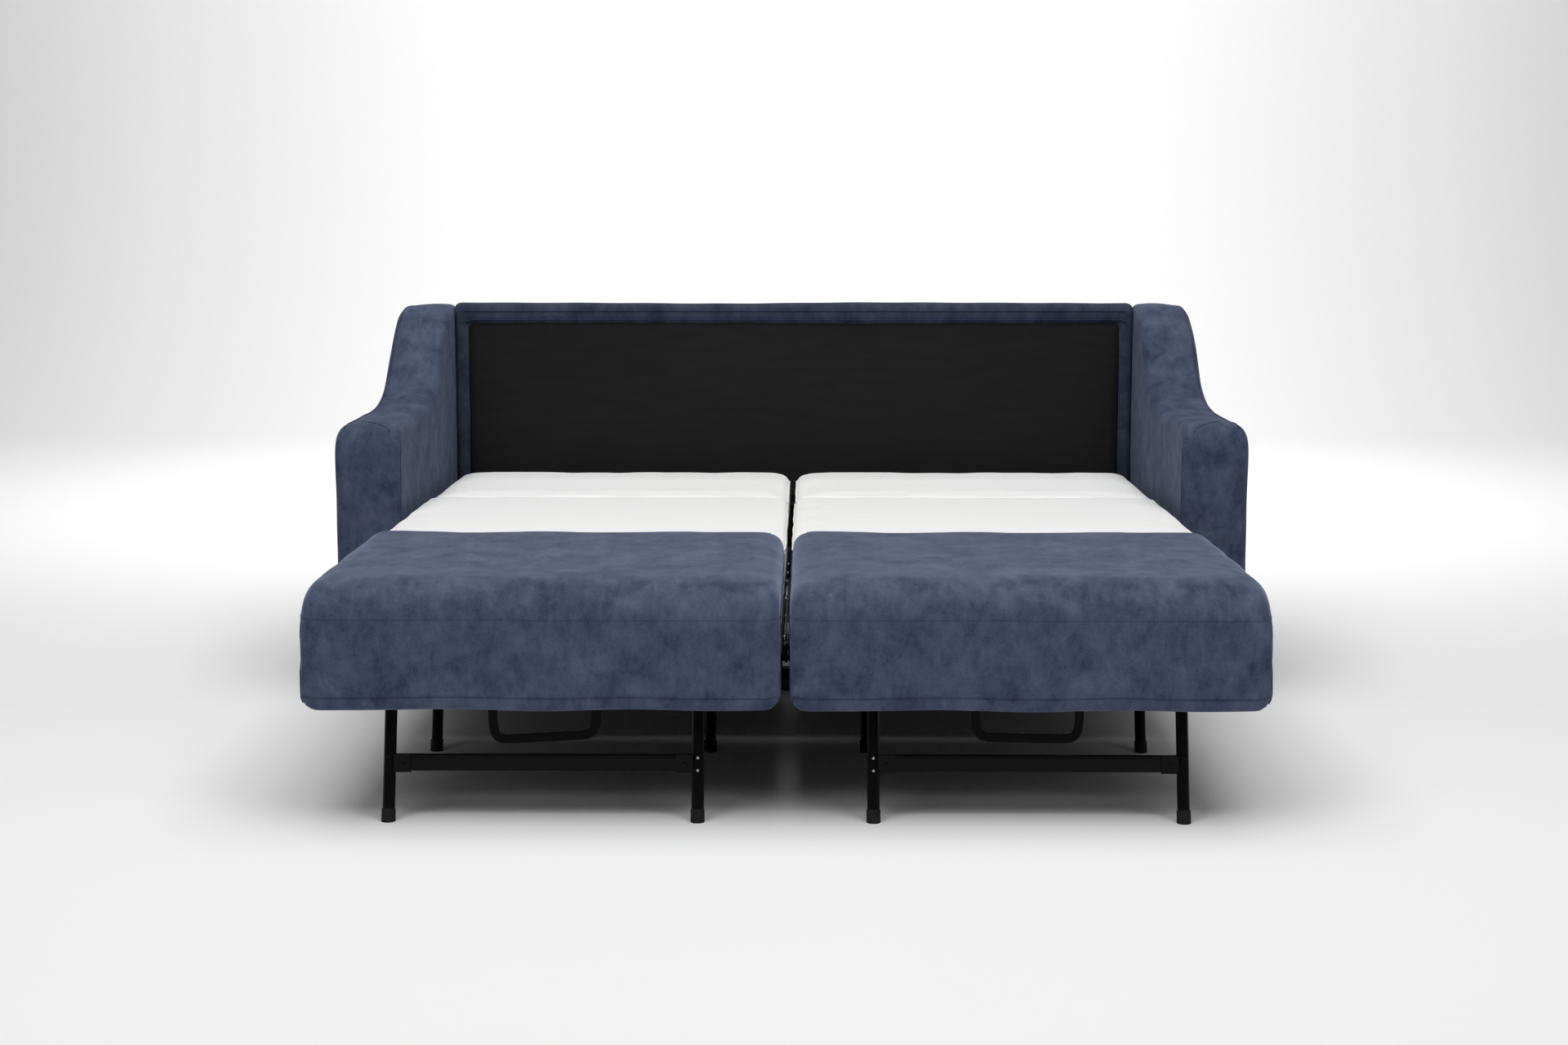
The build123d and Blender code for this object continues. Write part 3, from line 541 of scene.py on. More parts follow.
def weave_group():
    """Plain weave: threads along X cross threads along Y and Z, and the lower of the two families
    is in shade."""
    tree, group = group_tree("Thread Weave", [
        ("Thread", COLOUR, (0.8, 0.8, 0.8, 1)), ("Shade", COLOUR, (0.6, 0.6, 0.6, 1)),
        ("Scale", VALUE, 120.0), ("Slub Scale", VALUE, 60.0)],
        [("Colour", COLOUR), ("Height", VALUE)])
    if tree is None:
        return group
    given = node(tree, "NodeGroupInput")
    place = node(tree, "ShaderNodeTexCoord").outputs["Object"]
    split = node(tree, "ShaderNodeSeparateXYZ")
    join(tree, place, split.inputs[0])
    across = node(tree, "ShaderNodeCombineXYZ")
    join(tree, split.outputs[0], across.inputs[0])
    join(tree, math_node(tree, "ADD", split.outputs[1], split.outputs[2]), across.inputs[1])
    heights = []
    for direction in ("X", "Y"):
        threads = node(tree, "ShaderNodeTexWave", {"Distortion": 0.6, "Detail": 1.0},
                       bands_direction=direction)
        join(tree, across.outputs[0], threads.inputs["Vector"])
        join(tree, given.outputs["Scale"], threads.inputs["Scale"])
        heights.append(threads.outputs["Fac"])
    height = math_node(tree, "MULTIPLY", math_node(tree, "ADD", *heights), 0.5)
    slub = noise(tree, stretched(tree, place, (0.15, 1.0, 1.0)), given.outputs["Slub Scale"], 2.0, 0.5)
    lit = math_node(tree, "ADD", ranged(tree, height, 0.1, 0.9, 0.0, 0.8),
                    ranged(tree, slub, 0.35, 0.65, 0.0, 0.2))
    made = node(tree, "NodeGroupOutput")
    join(tree, mixed(tree, lit, given.outputs["Shade"], given.outputs["Thread"]), made.inputs["Colour"])
    join(tree, height, made.inputs["Height"])
    return group


def coat_group():
    """Coated metal: a faint orange peel, rubbed streaks, and dust that gathers low down."""
    tree, group = group_tree("Coat Wear and Dust", [
        ("Coat", COLOUR, (0.02, 0.02, 0.02, 1)), ("Rubbed", COLOUR, (0.07, 0.07, 0.07, 1)),
        ("Peel Scale", VALUE, 500.0), ("Roughness", VALUE, 0.4)],
        [("Colour", COLOUR), ("Roughness", VALUE), ("Height", VALUE)])
    if tree is None:
        return group
    given = node(tree, "NodeGroupInput")
    place = node(tree, "ShaderNodeTexCoord").outputs["Object"]
    peel = noise(tree, place, given.outputs["Peel Scale"], 2.0, 0.5)
    rubbed = ranged(tree, noise(tree, stretched(tree, place, (1, 1, 0.3)), 60.0, 5.0, 0.7), 0.60, 0.78)
    split = node(tree, "ShaderNodeSeparateXYZ")
    join(tree, place, split.inputs[0])
    low = ranged(tree, split.outputs[2], 0.0, 0.09, 0.35, 0.0)
    dust = math_node(tree, "MULTIPLY", low, noise(tree, place, 35.0))
    share = math_node(tree, "MAXIMUM", rubbed, dust)
    made = node(tree, "NodeGroupOutput")
    join(tree, mixed(tree, share, given.outputs["Coat"], given.outputs["Rubbed"]), made.inputs["Colour"])
    rough = math_node(tree, "ADD", given.outputs["Roughness"], math_node(tree, "MULTIPLY", share, 0.2))
    join(tree, rough, made.inputs["Roughness"])
    join(tree, peel, made.inputs["Height"])
    return group


def grain_group():
    """Sawn wood: noise drawn out along X, and rings from a distorted band wave."""
    tree, group = group_tree("Wood Grain", [
        ("Pale", COLOUR, (0.6, 0.4, 0.2, 1)), ("Dark", COLOUR, (0.4, 0.2, 0.1, 1)),
        ("Scale", VALUE, 14.0)], [("Colour", COLOUR), ("Height", VALUE)])
    if tree is None:
        return group
    given = node(tree, "NodeGroupInput")
    place = stretched(tree, node(tree, "ShaderNodeTexCoord").outputs["Object"], (0.08, 1.0, 1.0))
    rings = node(tree, "ShaderNodeTexWave", {"Distortion": 4.0, "Detail": 3.0}, bands_direction="Z")
    join(tree, place, rings.inputs["Vector"])
    join(tree, given.outputs["Scale"], rings.inputs["Scale"])
    fibre = noise(tree, place, 300.0, 4.0)
    share = math_node(tree, "MULTIPLY", rings.outputs["Fac"], ranged(tree, fibre, 0.3, 0.7, 0.5, 1.0))
    made = node(tree, "NodeGroupOutput")
    join(tree, mixed(tree, share, given.outputs["Pale"], given.outputs["Dark"]), made.inputs["Colour"])
    join(tree, fibre, made.inputs["Height"])
    return group


def rgba(value):
    return (*value, 1.0)


def surface(name, group, values, bump, bump_distance, **shader):
    """A material of one shader fed by one group, with the constant values on the shader itself."""
    if name in bpy.data.materials:
        return bpy.data.materials[name]
    made = bpy.data.materials.new(name)
    made.use_nodes = True
    tree = made.node_tree
    principled = tree.nodes["Principled BSDF"]
    pattern = node(tree, "ShaderNodeGroup", node_tree=group)
    for key, value in values.items():
        pattern.inputs[key].default_value = value
    join(tree, pattern.outputs["Colour"], principled.inputs["Base Color"])
    if "Roughness" in pattern.outputs:
        join(tree, pattern.outputs["Roughness"], principled.inputs["Roughness"])
    rise = node(tree, "ShaderNodeBump", {"Strength": bump, "Distance": bump_distance})
    join(tree, pattern.outputs["Height"], rise.inputs["Height"])
    join(tree, rise.outputs[0], principled.inputs["Normal"])
    for key, value in shader.items():
        principled.inputs[key.replace("_", " ")].default_value = value
    return made


def velvet(name="sofa velvet", share=1.0, sheen=0.56):
    tones = bpy.context.scene.sofa_bed_colours
    # share scales both pile colours down; the copies below 1.0 for the arms, back and seams are painted
    # shade, the same velvet made darker.
    deep = [tone * share for tone in tones.velvet_deep]
    light = [tone * share for tone in tones.velvet_pile]
    return surface(name, pile_group(), {"Deep": rgba(deep), "Light": rgba(light)}, 0.35, 0.0006,
                   Sheen_Weight=sheen, Sheen_Roughness=0.35, Sheen_Tint=(0.60, 0.69, 0.90, 1),
                   Specular_IOR_Level=0.18)


# Dark seam thread; on the back panel's top edge its dark line is painted shadow as well as a seam.
def seam_and_shadow_thread():
    tones = bpy.context.scene.sofa_bed_colours
    return surface("dark seam and painted shadow", pile_group(), {
        "Deep": rgba(tones.seam_and_shadow_dark), "Light": rgba([tone * 2 for tone in tones.seam_and_shadow_dark])},
        0.2, 0.0003, Sheen_Weight=0.2, Sheen_Roughness=0.4, Specular_IOR_Level=0.2)


def ticking():
    tones = bpy.context.scene.sofa_bed_colours
    return surface("mattress ticking", weave_group(), {
        "Thread": rgba(tones.ticking), "Shade": rgba(tones.ticking_shade), "Scale": 160.0}, 0.25,
        0.0004, Roughness=0.86, Sheen_Weight=0.25, Sheen_Roughness=0.5, Specular_IOR_Level=0.25)


def ticking_tape():
    return surface("ticking tape", weave_group(), {
        "Thread": (0.88, 0.88, 0.87, 1), "Shade": (0.74, 0.74, 0.73, 1), "Scale": 240.0}, 0.3, 0.0004,
        Roughness=0.7, Specular_IOR_Level=0.3)


def lining():
    tones = bpy.context.scene.sofa_bed_colours
    return surface("black lining", weave_group(), {
        "Thread": rgba(tones.lining), "Shade": rgba([tone * 0.5 for tone in tones.lining]),
        "Scale": 200.0}, 0.3, 0.0004, Roughness=0.9, Specular_IOR_Level=0.15)


# Seam velvet at 0.6 of the sofa velvet's colour and with little sheen: painted shade in the seam creases.
def seam_velvet_in_painted_shade():
    return velvet("sofa seam in painted shade", 0.6, 0.2)


def strap_webbing():
    tones = bpy.context.scene.sofa_bed_colours
    return surface("strap webbing", weave_group(), {
        "Thread": rgba([tone * 1.8 for tone in tones.webbing]), "Shade": rgba(tones.webbing),
        "Scale": 110.0, "Slub Scale": 160.0}, 0.7, 0.0008, Roughness=0.5,
        Specular_IOR_Level=0.07)


def finishes():
    """The finish of each material slot whose CAD pieces stay in view."""
    tones = bpy.context.scene.sofa_bed_colours
    coats = {    # slot: name, coat, rubbed, peel scale, roughness, bump, bump distance, shader values
        "black_steel": ("black powder coat", tones.steel, tones.worn, 500.0, 0.30, 0.12, 0.0003,
                        {"Specular_IOR_Level": 0.09}),
        "zinc_steel": ("zinc plate", tones.zinc, (0.30, 0.31, 0.32), 90.0, 0.28, 0.08, 0.0003,
                       {"Metallic": 1.0}),
        "rubber": ("black rubber", tones.rubber, (0.03, 0.03, 0.03), 220.0, 0.62, 0.25, 0.0003,
                   {"Specular_IOR_Level": 0.2}),
        "black_plastic": ("moulded feet", (0.024, 0.024, 0.025), (0.06, 0.06, 0.06), 700.0, 0.46,
                          0.15, 0.0002, {"Specular_IOR_Level": 0.45}),
        "nylon": ("moulded nylon", tones.nylon, (0.6, 0.57, 0.5), 300.0, 0.42, 0.1, 0.0002,
                  {"Specular_IOR_Level": 0.5}),
    }
    made = {slot: surface(name, coat_group(), {"Coat": rgba(coat), "Rubbed": rgba(rubbed),
                                               "Peel Scale": peel, "Roughness": rough},
                          bump, distance, **shader)
            for slot, (name, coat, rubbed, peel, rough, bump, distance, shader) in coats.items()}
    made["timber"] = surface("sawn timber", grain_group(), {
        "Pale": rgba(tones.timber), "Dark": rgba(tones.timber_dark)}, 0.3, 0.0004,
        Roughness=0.72, Specular_IOR_Level=0.3)
    # Near-black deck boards with faint grain: painted shade for the dark space beneath the sofa.
    made["deck_board"] = surface("deck board in painted shade", grain_group(), {
        "Pale": (0.014, 0.014, 0.014, 1), "Dark": (0.008, 0.008, 0.008, 1), "Scale": 30.0},
        0.1, 0.0002, Roughness=0.5, Specular_IOR_Level=0.25)
    return made


# ------------------------------------------------------------ joining pieces to the frame
def corners_of(name):
    low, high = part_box(name)
    return np.array(low), np.array(high)


def dress(piece, material, body, slot, *nodes, fill=None):
    """Give a piece its material and body, and hide the CAD nodes that it stands for. The slot is not used.
    """
    piece.data.materials.clear()
    piece.data.materials.append(material)
    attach(piece, body)
    if nodes:
        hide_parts(*nodes)
    return piece


def seam(name, cover, path, body, material, radius, slot="sofa_fabric", closed=False):
    """A sewn seam that lies half sunk in a cover."""
    line = on_cover(cover, evenly(np.asarray(path, float), SEAM_STEP), radius * 0.15)
    piece = swept(name, line[:-1] if closed else line, circle(radius), closed)
    return dress(piece, material, body, slot)


def straight(start, end):
    return np.array([start, end], float)


# ------------------------------------------------------------ operators
class SOFABED_OT_stage(bpy.types.Operator):
    """Pale seamless floor, soft studio lights and the camera"""
    bl_idname = "sofabed.stage"
    bl_label = "Studio"

    def execute(self, context):
        scene = context.scene
        tones = scene.sofa_bed_colours
        wide, front, rear, top = 14.0, -9.0, 6.0, 6.0
        sweep = 2.5
        a = np.linspace(0, math.pi / 2, 16)
        profile = np.vstack([[[front, 0]],
                             np.column_stack([rear + np.sin(a) * sweep, sweep - np.cos(a) * sweep]),
                             [[rear + sweep, top]]])
        rows = len(profile)
        points = np.vstack([np.column_stack([np.full(rows, x), profile]) for x in (-wide, wide)])
        i = np.arange(rows - 1)
        floor = finish_mesh("studio_floor", points, np.column_stack([i, i + rows, i + rows + 1, i + 1]))
        paper = bpy.data.materials.new("studio paper")
        paper.use_nodes = True
        tree = paper.node_tree
        shader = tree.nodes["Principled BSDF"]
        place = node(tree, "ShaderNodeTexCoord").outputs["Object"]
        mottle = ranged(tree, noise(tree, place, 3.0), 0.3, 0.7, 0.0, 0.04)
        plain = node(tree, "ShaderNodeRGB")
        plain.outputs[0].default_value = rgba(tones.floor)
        shade = node(tree, "ShaderNodeRGB")
        shade.outputs[0].default_value = rgba([tone * 0.9 for tone in tones.floor])
        join(tree, mixed(tree, mottle, plain.outputs[0], shade.outputs[0]), shader.inputs["Base Color"])
        shader.inputs["Roughness"].default_value = 0.9
        shader.inputs["Specular IOR Level"].default_value = 0.1
        floor.data.materials.append(paper)

        world = bpy.data.worlds.new("studio air")
        world.use_nodes = True
        world.node_tree.nodes["Background"].inputs[0].default_value = (1.0, 0.985, 0.97, 1)
        world.node_tree.nodes["Background"].inputs[1].default_value = 0.13
        scene.world = world
        lamps = (("ceiling", (0.0, -1.0, 4.6), (0.0, -0.3, 0.0), 5.0, 215.0),
                 ("front_left", (-3.0, -4.8, 4.8), (0.0, -0.4, 0.4), 3.0, 66.0),
                 ("front_right", (3.2, -4.6, 4.6), (0.0, -0.4, 0.4), 3.0, 54.0),
                 ("backdrop", (0.0, 3.6, 4.4), (0.0, 7.5, 1.2), 5.0, 310.0))
        for name, place, target, size, power in lamps:
            lamp = bpy.data.lights.new(name, "AREA")
            lamp.size, lamp.energy = size, power
            lamp_object = bpy.data.objects.new(name, lamp)
            lamp_object.location = place
            aim = Vector(target) - Vector(place)
            lamp_object.rotation_euler = aim.to_track_quat("-Z", "Y").to_euler()
            scene.collection.objects.link(lamp_object)

        camera = bpy.data.cameras.new("camera")
        camera.lens, camera.sensor_width = 55.6, 36.0
        eye = bpy.data.objects.new("camera", camera)
        eye.location = (0.041, -5.228, 1.074)
        eye.rotation_euler = (math.radians(90 - 7.41), 0.0, math.radians(0.6))
        scene.collection.objects.link(eye)
        scene.camera = eye
        scene.view_settings.view_transform = "Standard"
        return {"FINISHED"}


class SOFABED_OT_arms(bpy.types.Operator):
    """The two upholstered arms, which rise to the back in a scoop"""
    bl_idname = "sofabed.arms"
    bl_label = "Arms"

    def execute(self, context):
        sizes = context.scene.sofa_bed_sizes
        back_low, _ = corners_of("back_cover")
        for side in SIDES:
            low, high = corners_of(f"arm_cover_{side}")
            y0, y1, z0, z1 = low[1], high[1], low[2], high[2]
            level = z0 + 0.553
            outline = corner_outline([
                (y0, z0, 0.008, 0.008), (y0, level, 0.075, 0.070), (y0 + 0.545, level, 0.27, 0.12),
                (y0 + 0.770, z1, 0.12, 0.12), (y1, z1, 0.030, 0.030), (y1, z0, 0.008, 0.008)])
            sign = 1 if side == "right" else -1
            inner, outer = sorted((abs(low[0]), abs(high[0])))
            piece = upholstered(f"arm_upholstery_{side}", outline, (y0 + 0.53, z0 + 0.30), inner, outer,
                                sizes.arm_inner_round, sizes.arm_outer_round)
            points = points_of(piece.data)
            taper = 0.013 * np.clip((points[:, 1] - y0) / (back_low[1] - y0), 0, 1)
            points[:, 0] += taper * (outer - points[:, 0]) / (outer - inner)
            across = (points[:, 0] - inner) / (outer - inner)
            out, into = np.clip(across, 0, 1), np.clip(1 - across, 0, 1)
            over = smoothstep(points[:, 2], level - 0.10, level - 0.02)
            points[:, 2] -= over * (0.012 * out ** 4 + 0.010 * into ** 4)
            forward = 1 - smoothstep(points[:, 1], y0 + 0.15, y0 + 0.7)
            points[:, 0] += forward * (0.012 * out ** 3 + 0.009 * into)
            points[:, 0] *= sign
            move_points(piece.data, points)
            if sign < 0:
                piece.data.flip_normals()
            soften(piece, SEED + 1, sizes.ripple * 0.9)
            # The arms take the sofa velvet at 0.90 of its colour and with less sheen: the darker colour is
            # painted shade for their shaded inner faces.
            dress(piece, velvet("arm velvet in painted shade", 0.90, 0.12), "root", "sofa_fabric",
                  f"arm_cover_{side}", fill=0.9)
            edge = inner + sizes.arm_inner_round * 0.4
            crease = [(sign * (edge + 0.09), y0 + 0.06, level + 0.01),
                      (sign * (edge + 0.03), y0 + 0.03, level - 0.02),
                      (sign * edge, y0 + 0.022, level - 0.09), (sign * edge, y0 + 0.008, z0 + 0.02)]
            seam(f"arm_seam_{side}", piece, crease, "root", seam_velvet_in_painted_shade(), sizes.welt * 0.5)
            rim = sign * (outer - sizes.arm_outer_round * 0.3)
            rise = ((y0 + 0.03, level - 0.03), (y0 + 0.08, level), (y0 + 0.5, level),
                    (y0 + 0.6, level + 0.03), (y0 + 0.75, z1 - 0.05), (y0 + 0.86, z1), (y1 - 0.03, z1))
            line = [(rim, y, z + 0.02) for y, z in rise]
            seam(f"arm_rim_{side}", piece, line, "root", seam_velvet_in_painted_shade(), sizes.welt * 0.8)
        return {"FINISHED"}


class SOFABED_OT_back(bpy.types.Operator):
    """The back: a padded border and top roll round a black lining panel, and the rear cloth"""
    bl_idname = "sofabed.back"
    bl_label = "Back"

    def execute(self, context):
        sizes = context.scene.sofa_bed_sizes
        low, high = corners_of("back_cover")
        panel_low, panel_high = corners_of("back_panel")
        outline = corner_outline([(low[1], low[2], 0.01, 0.01), (low[1], high[2], 0.026, 0.030),
                                  (high[1], high[2], 0.02, 0.02), (high[1], low[2], 0.01, 0.01)])
        side_round = 0.012
        piece = upholstered("back_upholstery", outline, ((low[1] + high[1]) / 2, 0.45),
                            low[0], high[0], side_round, side_round)
        points = points_of(piece.data)
        soft = 0.008
        inside = (smoothstep(points[:, 0], panel_low[0] - soft, panel_low[0] + soft)
                  * smoothstep(-points[:, 0], -panel_high[0] - soft, -panel_high[0] + soft)
                  * smoothstep(points[:, 2], panel_low[2] - soft, panel_low[2] + soft)
                  * smoothstep(-points[:, 2], -panel_high[2] - soft, -panel_high[2] + soft))
        front = points[:, 1] < low[1] + 0.03
        points[:, 1] += np.where(front, 0.012 * inside, 0.0)
        move_points(piece.data, points)
        soften(piece, SEED + 2, sizes.ripple)
        # The back takes the sofa velvet at half its colour: painted shade on the back's padding.
        dress(piece, velvet("back velvet in painted shade", 0.50, 0.12), "root", "sofa_fabric", "back_cover", fill=0.8)
        lining_y = (panel_low[1] + panel_high[1]) / 2
        cloth = flat_cloth("back_lining", panel_low[[0, 2]], panel_high[[0, 2]], lining_y,
                           SEED + 3, 0.0016)
        dress(cloth, lining(), "root", "black_lining", "back_panel")
        inset = 0.02
        # The lower seam lies on the panel's top edge: its dark line there is painted shadow as well as a
        # seam.
        for height, name in ((panel_high[2] + 0.003, "back_seam_low_painted_shadow"),
                             (high[2] - 0.012, "back_seam_high")):
            line = straight((low[0] + inset, low[1] - inset, height),
                            (high[0] - inset, low[1] - inset, height))
            seam(name, piece, line, "root", seam_and_shadow_thread(), sizes.welt)
        rear_low, rear_high = corners_of("rear_panel")
        margin = 0.004
        rear = flat_cloth("rear_cloth", rear_low[[0, 2]] + margin, rear_high[[0, 2]] - margin,
                          (rear_low[1] + rear_high[1]) / 2, SEED + 4, 0.001)
        # The rear cloth takes the same half-colour velvet: painted shade.
        dress(rear, velvet("back velvet in painted shade", 0.50, 0.12), "root", "sofa_fabric", "rear_panel")
        return {"FINISHED"}


class SOFABED_OT_seats(bpy.types.Operator):
    """The two foot sections, in the sofa's fabric, with a waterfall front and a hem"""
    bl_idname = "sofabed.seats"
    bl_label = "Seats"

    def execute(self, context):
        sizes = context.scene.sofa_bed_sizes
        low, high = corners_of("seat_cushion_right")
        deck_low, deck_high = corners_of("seat_deck_right")
        top, under = high[2] - sizes.seat_crown, deck_high[2] + 0.001
        nose = deck_low[1] - 0.004
        outline = corner_outline([
            (low[1], low[2], 0.010, 0.012), (low[1], top, sizes.seat_drop, sizes.seat_fall),
            (high[1], top + 0.002, 0.022, 0.016), (high[1], under, 0.02, 0.02), (nose, under, 0.006, 0.006),
            (nose, low[2], 0.012, 0.010)])
        cover = upholstered("seat_upholstery_right", outline, (low[1] + 0.04, 0.335),
                            low[0], high[0], sizes.seat_round, sizes.seat_round)
        raise_crown(cover, low, high, sizes.seat_crown)
        square_front(cover, low, high, sizes.seat_round)
        soften(cover, SEED + 5, sizes.ripple)
        swell(cover, sizes, low, high)
        left_low, _ = corners_of("seat_cushion_left")
        shift = left_low[0] - low[0]
        covers = {"right": cover, "left": copied(cover, "seat_upholstery_left", shift)}
        for side, piece in covers.items():
            dress(piece, velvet(), f"{side}_seat", "sofa_fabric", f"seat_cushion_{side}", fill=0.8)
            side_low, side_high = corners_of(f"seat_cushion_{side}")
            x0, x1 = side_low[0], side_high[0]
            body = f"{side}_seat"
            # Hem and cross seams use darker velvet copies: painted shade along the seam lines.
            for name, height, radius, thread in (
                    ("hem", low[2] + sizes.hem + 0.004, 0.55, seam_velvet_in_painted_shade()),
                    ("cross", 0.369, 0.35, velvet("cross seam in painted shade", 0.92, 0.25))):
                front = [(x0 - 0.02, low[1] + 0.055, height), (x0 - 0.01, low[1] + 0.02, height),
                         (x0 + 0.02, low[1] - 0.02, height), (x1 - 0.02, low[1] - 0.02, height),
                         (x1 + 0.01, low[1] + 0.02, height), (x1 + 0.02, low[1] + 0.055, height)]
                seam(f"seat_{name}_seam_{side}", piece, front, body, thread, sizes.welt * radius)
            rear = straight((x0 + 0.03, high[1] - 0.006, high[2]),
                            (x1 - 0.03, high[1] - 0.006, high[2]))
            seam(f"seat_rear_piping_{side}", piece, rear, body, seam_and_shadow_thread(), sizes.welt * 1.3)
            for x, edge in ((x0, "a"), (x1, "b")):
                path = [(x, high[1] - 0.02, 0.385), (x, low[1] + 0.13, 0.385), (x, low[1] + 0.04, 0.345),
                        (x, low[1] + 0.012, 0.26), (x, low[1] + 0.012, low[2] + 0.01)]
                seam(f"seat_side_seam_{side}_{edge}", piece, path, body, seam_velvet_in_painted_shade(), sizes.welt * 0.8)
        return {"FINISHED"}


class SOFABED_OT_mattresses(bpy.types.Operator):
    """The middle and head mattress sections, in white ticking with taped edges"""
    bl_idname = "sofabed.mattresses"
    bl_label = "Mattresses"

    def section(self, name, corners, pole, low, high, sizes, edge, seed):
        cover = upholstered(f"{name}_ticking_right", corner_outline(corners), pole,
                            low[0], high[0], edge, edge)
        raise_crown(cover, low, high, sizes.mattress_crown)
        soften(cover, seed, sizes.ripple * 0.8)
        swell(cover, sizes, low, high)
        return cover

    def execute(self, context):
        sizes = context.scene.sofa_bed_sizes
        low, high = corners_of("middle_mattress_right")
        top = high[2] - sizes.mattress_crown
        small = sizes.mattress_round
        middle = self.section("middle", [
            (low[1], low[2], 0.008, 0.008), (low[1], top, small * 1.6, small * 1.6),
            (high[1], top, small, small), (high[1], low[2], 0.008, 0.008)],
            ((low[1] + high[1]) / 2, (low[2] + top) / 2), low, high, sizes, small, SEED + 6)
        head_low, head_high = corners_of("head_mattress_right")
        head_top = head_high[2] - sizes.mattress_crown
        head = self.section("head", [
            (head_low[1] + 0.066, head_low[2], 0.01, 0.01),
            (head_low[1] + 0.034, head_low[2] + 0.05, 0.02, 0.03),
            (head_low[1] + 0.001, head_top, 0.012, 0.014), (head_high[1], head_top, 0.034, 0.030),
            (head_high[1], head_low[2], 0.02, 0.02)],
            ((head_low[1] + head_high[1]) / 2, (head_low[2] + head_top) / 2),
            head_low, head_high, sizes, sizes.head_round, SEED + 8)
        left_low, _ = corners_of("middle_mattress_left")
        shift = left_low[0] - low[0]
        tape_height = 0.388
        pieces = {"right": (middle, head), "left": (copied(middle, "middle_ticking_left", shift),
                                                    copied(head, "head_ticking_left", shift))}
        for side, (centre, end) in pieces.items():
            offset = 0.0 if side == "right" else shift
            x0, x1 = low[0] + offset, high[0] + offset
            dress(centre, ticking(), f"{side}_middle", "mattress_fabric",
                  f"middle_mattress_{side}", fill=0.85)
            dress(end, ticking(), f"{side}_head", "mattress_fabric", f"head_mattress_{side}", fill=0.85)
            for label, cover, body, lo, hi, inset in (
                    ("middle", centre, f"{side}_middle", low, high, 0.016),
                    ("head", end, f"{side}_head", head_low, head_high, 0.03)):
                near, far = lo[1] + inset * 0.6, hi[1] - inset * 0.6
                corners = ((x0 - 0.01, near), (x0 - 0.01, far), (x0 + 0.02, hi[1] + 0.02),
                           (x1 - 0.02, hi[1] + 0.02), (x1 + 0.01, far), (x1 + 0.01, near),
                           (x1 - 0.02, lo[1] - 0.02), (x0 + 0.02, lo[1] - 0.02), (x0 - 0.01, near))
                loop = [(x, y, tape_height) for x, y in corners]
                seam(f"{label}_tape_{side}", cover, loop, body, ticking_tape(), sizes.welt,
                     "mattress_fabric", closed=True)
            top_line = straight((x0 + 0.03, high[1] - 0.026, 0.42), (x1 - 0.03, high[1] - 0.026, 0.42))
            line = on_cover(centre, evenly(top_line, 0.02), 0.0003)
            row = stitches(f"middle_stitches_{side}", line, sizes.stitch, sizes.stitch * 0.7, 0.0007)
            dress(row, ticking_tape(), f"{side}_middle", "mattress_fabric")
        return {"FINISHED"}


class SOFABED_OT_straps(bpy.types.Operator):
    """The two pull straps, flat webbing bent into a loop"""
    bl_idname = "sofabed.straps"
    bl_label = "Pull straps"

    def execute(self, context):
        for side, slant in (("left", 0.010), ("right", -0.003)):
            low, high = corners_of(f"pull_strap_{side}")
            webbing, thick = 0.016, 0.0045
            half = (high[0] - low[0] - webbing) / 2
            drop = high[2] - low[2] - webbing / 2 - 0.006
            a = np.linspace(math.pi, 2 * math.pi, 241)
            square = 1 / 5.5
            x = np.sign(np.cos(a)) * np.abs(np.cos(a)) ** square
            z = -np.abs(np.sin(a)) ** square
            line = np.column_stack([(low[0] + high[0]) / 2 + half * x,
                                    np.full(len(a), (low[1] + high[1]) / 2),
                                    high[2] - 0.001 + drop * z + slant * x * z ** 2 / 2])
            loop = swept(f"pull_loop_{side}", evenly(line, 0.004), band(webbing, thick))
            dress(loop, strap_webbing(), f"{side}_strap", "webbing", f"pull_strap_{side}")
        return {"FINISHED"}


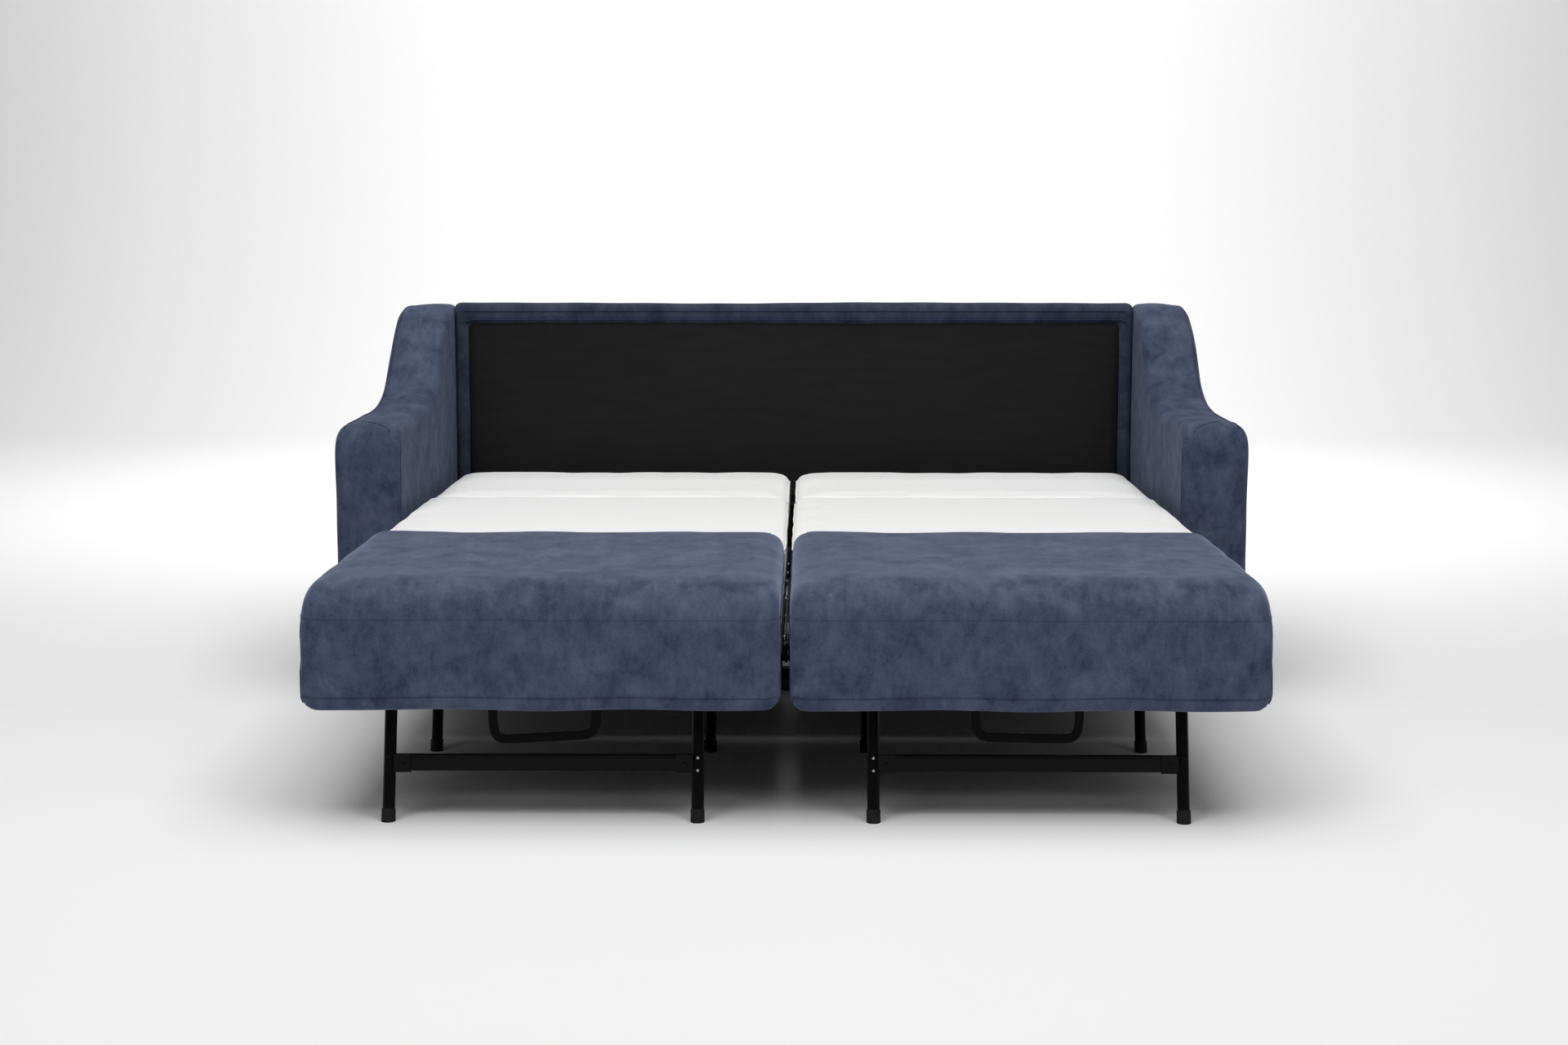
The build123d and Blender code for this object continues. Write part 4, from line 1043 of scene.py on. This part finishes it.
class SOFABED_OT_rivets(bpy.types.Operator):
    """Domed rivets on the front legs, two where each leg meets its bar, bright on the inner legs"""
    bl_idname = "sofabed.rivets"
    bl_label = "Rivets"

    def execute(self, context):
        made = finishes()
        radius, rise, rows, tube = 0.0030, 0.0020, 6, 0.011
        spacing, proud, sunk = 0.0212, 0.0012, 0.001
        share = np.linspace(0, 1, rows)
        size = np.sqrt(1 - (share * 0.98) ** 2)[:, None, None]
        a = np.arange(RIVET_SIDES) * 2 * math.pi / RIVET_SIDES
        ring = np.stack([np.cos(a), 0 * a, np.sin(a)], -1)[None] * size * radius
        ends = [list(range(RIVET_SIDES)), list(range((rows - 1) * RIVET_SIDES, rows * RIVET_SIDES))]
        for side in SIDES:
            low, high = corners_of(f"front_leg_bar_{side}")
            foot_low, _ = corners_of(f"front_leg_feet_{side}")
            _, leg_high = corners_of(f"front_legs_{side}")
            lean = ((leg_high[1] - tube) - (foot_low[1] + tube)) / leg_high[2]
            for x, edge in ((low[0] - tube, "a"), (high[0] + tube, "b")):
                inner = (side == "left") == (edge == "b")
                slot = "zinc_steel" if inner else "black_steel"
                for shift, place in ((-spacing / 2, "low"), (spacing / 2, "high")):
                    z = (low[2] + high[2]) / 2 + shift
                    y = (low[1] + high[1]) / 2 - tube - proud + shift * lean
                    line = np.column_stack([np.full(rows, x), y + sunk - share * rise, np.full(rows, z)])
                    points = (line[:, None] + ring).reshape(-1, 3)
                    dome = finish_mesh(f"rivet_{side}_{edge}_{place}", points,
                                       ring_quads(rows, RIVET_SIDES), ends)
                    dress(dome, made[slot], f"{side}_front_legs", slot)
        return {"FINISHED"}


class SOFABED_OT_finishes(bpy.types.Operator):
    """The finishes of the steel, timber, feet, pins and glides"""
    bl_idname = "sofabed.finishes"
    bl_label = "Finishes"

    def execute(self, context):
        made = finishes()
        for row in frame["record"]["subparts"]:
            material = made.get(row["material_slot"])
            if material is None:
                continue
            for place in frame["nodes"][row["node"]].material_slots:
                place.material = material
        return {"FINISHED"}


class SOFABED_PT_panel(bpy.types.Panel):
    """The sofa bed's pieces, sizes and colours"""
    bl_label = "Sofa Bed"
    bl_idname = "SOFABED_PT_panel"
    bl_space_type = "VIEW_3D"
    bl_region_type = "UI"
    bl_category = "Sofa Bed"

    def draw(self, context):
        for operator in OPERATORS:
            self.layout.operator(operator.bl_idname)
        for group in (context.scene.sofa_bed_sizes, context.scene.sofa_bed_colours):
            for key in group.__annotations__:
                self.layout.prop(group, key)


OPERATORS = (SOFABED_OT_stage, SOFABED_OT_arms, SOFABED_OT_back, SOFABED_OT_seats,
             SOFABED_OT_mattresses, SOFABED_OT_straps, SOFABED_OT_rivets, SOFABED_OT_finishes)
CLASSES = (SofaBedSizes, SofaBedColours, *OPERATORS, SOFABED_PT_panel)


def register():
    for item in CLASSES:
        bpy.utils.register_class(item)
    bpy.types.Scene.sofa_bed_sizes = PointerProperty(type=SofaBedSizes)
    bpy.types.Scene.sofa_bed_colours = PointerProperty(type=SofaBedColours)


def unregister():
    del bpy.types.Scene.sofa_bed_colours
    del bpy.types.Scene.sofa_bed_sizes
    for item in reversed(CLASSES):
        bpy.utils.unregister_class(item)


def main():
    register()
    bpy.ops.sofabed.stage()
    bpy.ops.sofabed.arms()
    bpy.ops.sofabed.back()
    bpy.ops.sofabed.seats()
    bpy.ops.sofabed.mattresses()
    bpy.ops.sofabed.straps()
    bpy.ops.sofabed.rivets()
    bpy.ops.sofabed.finishes()


if __name__ == "__main__":
    main()
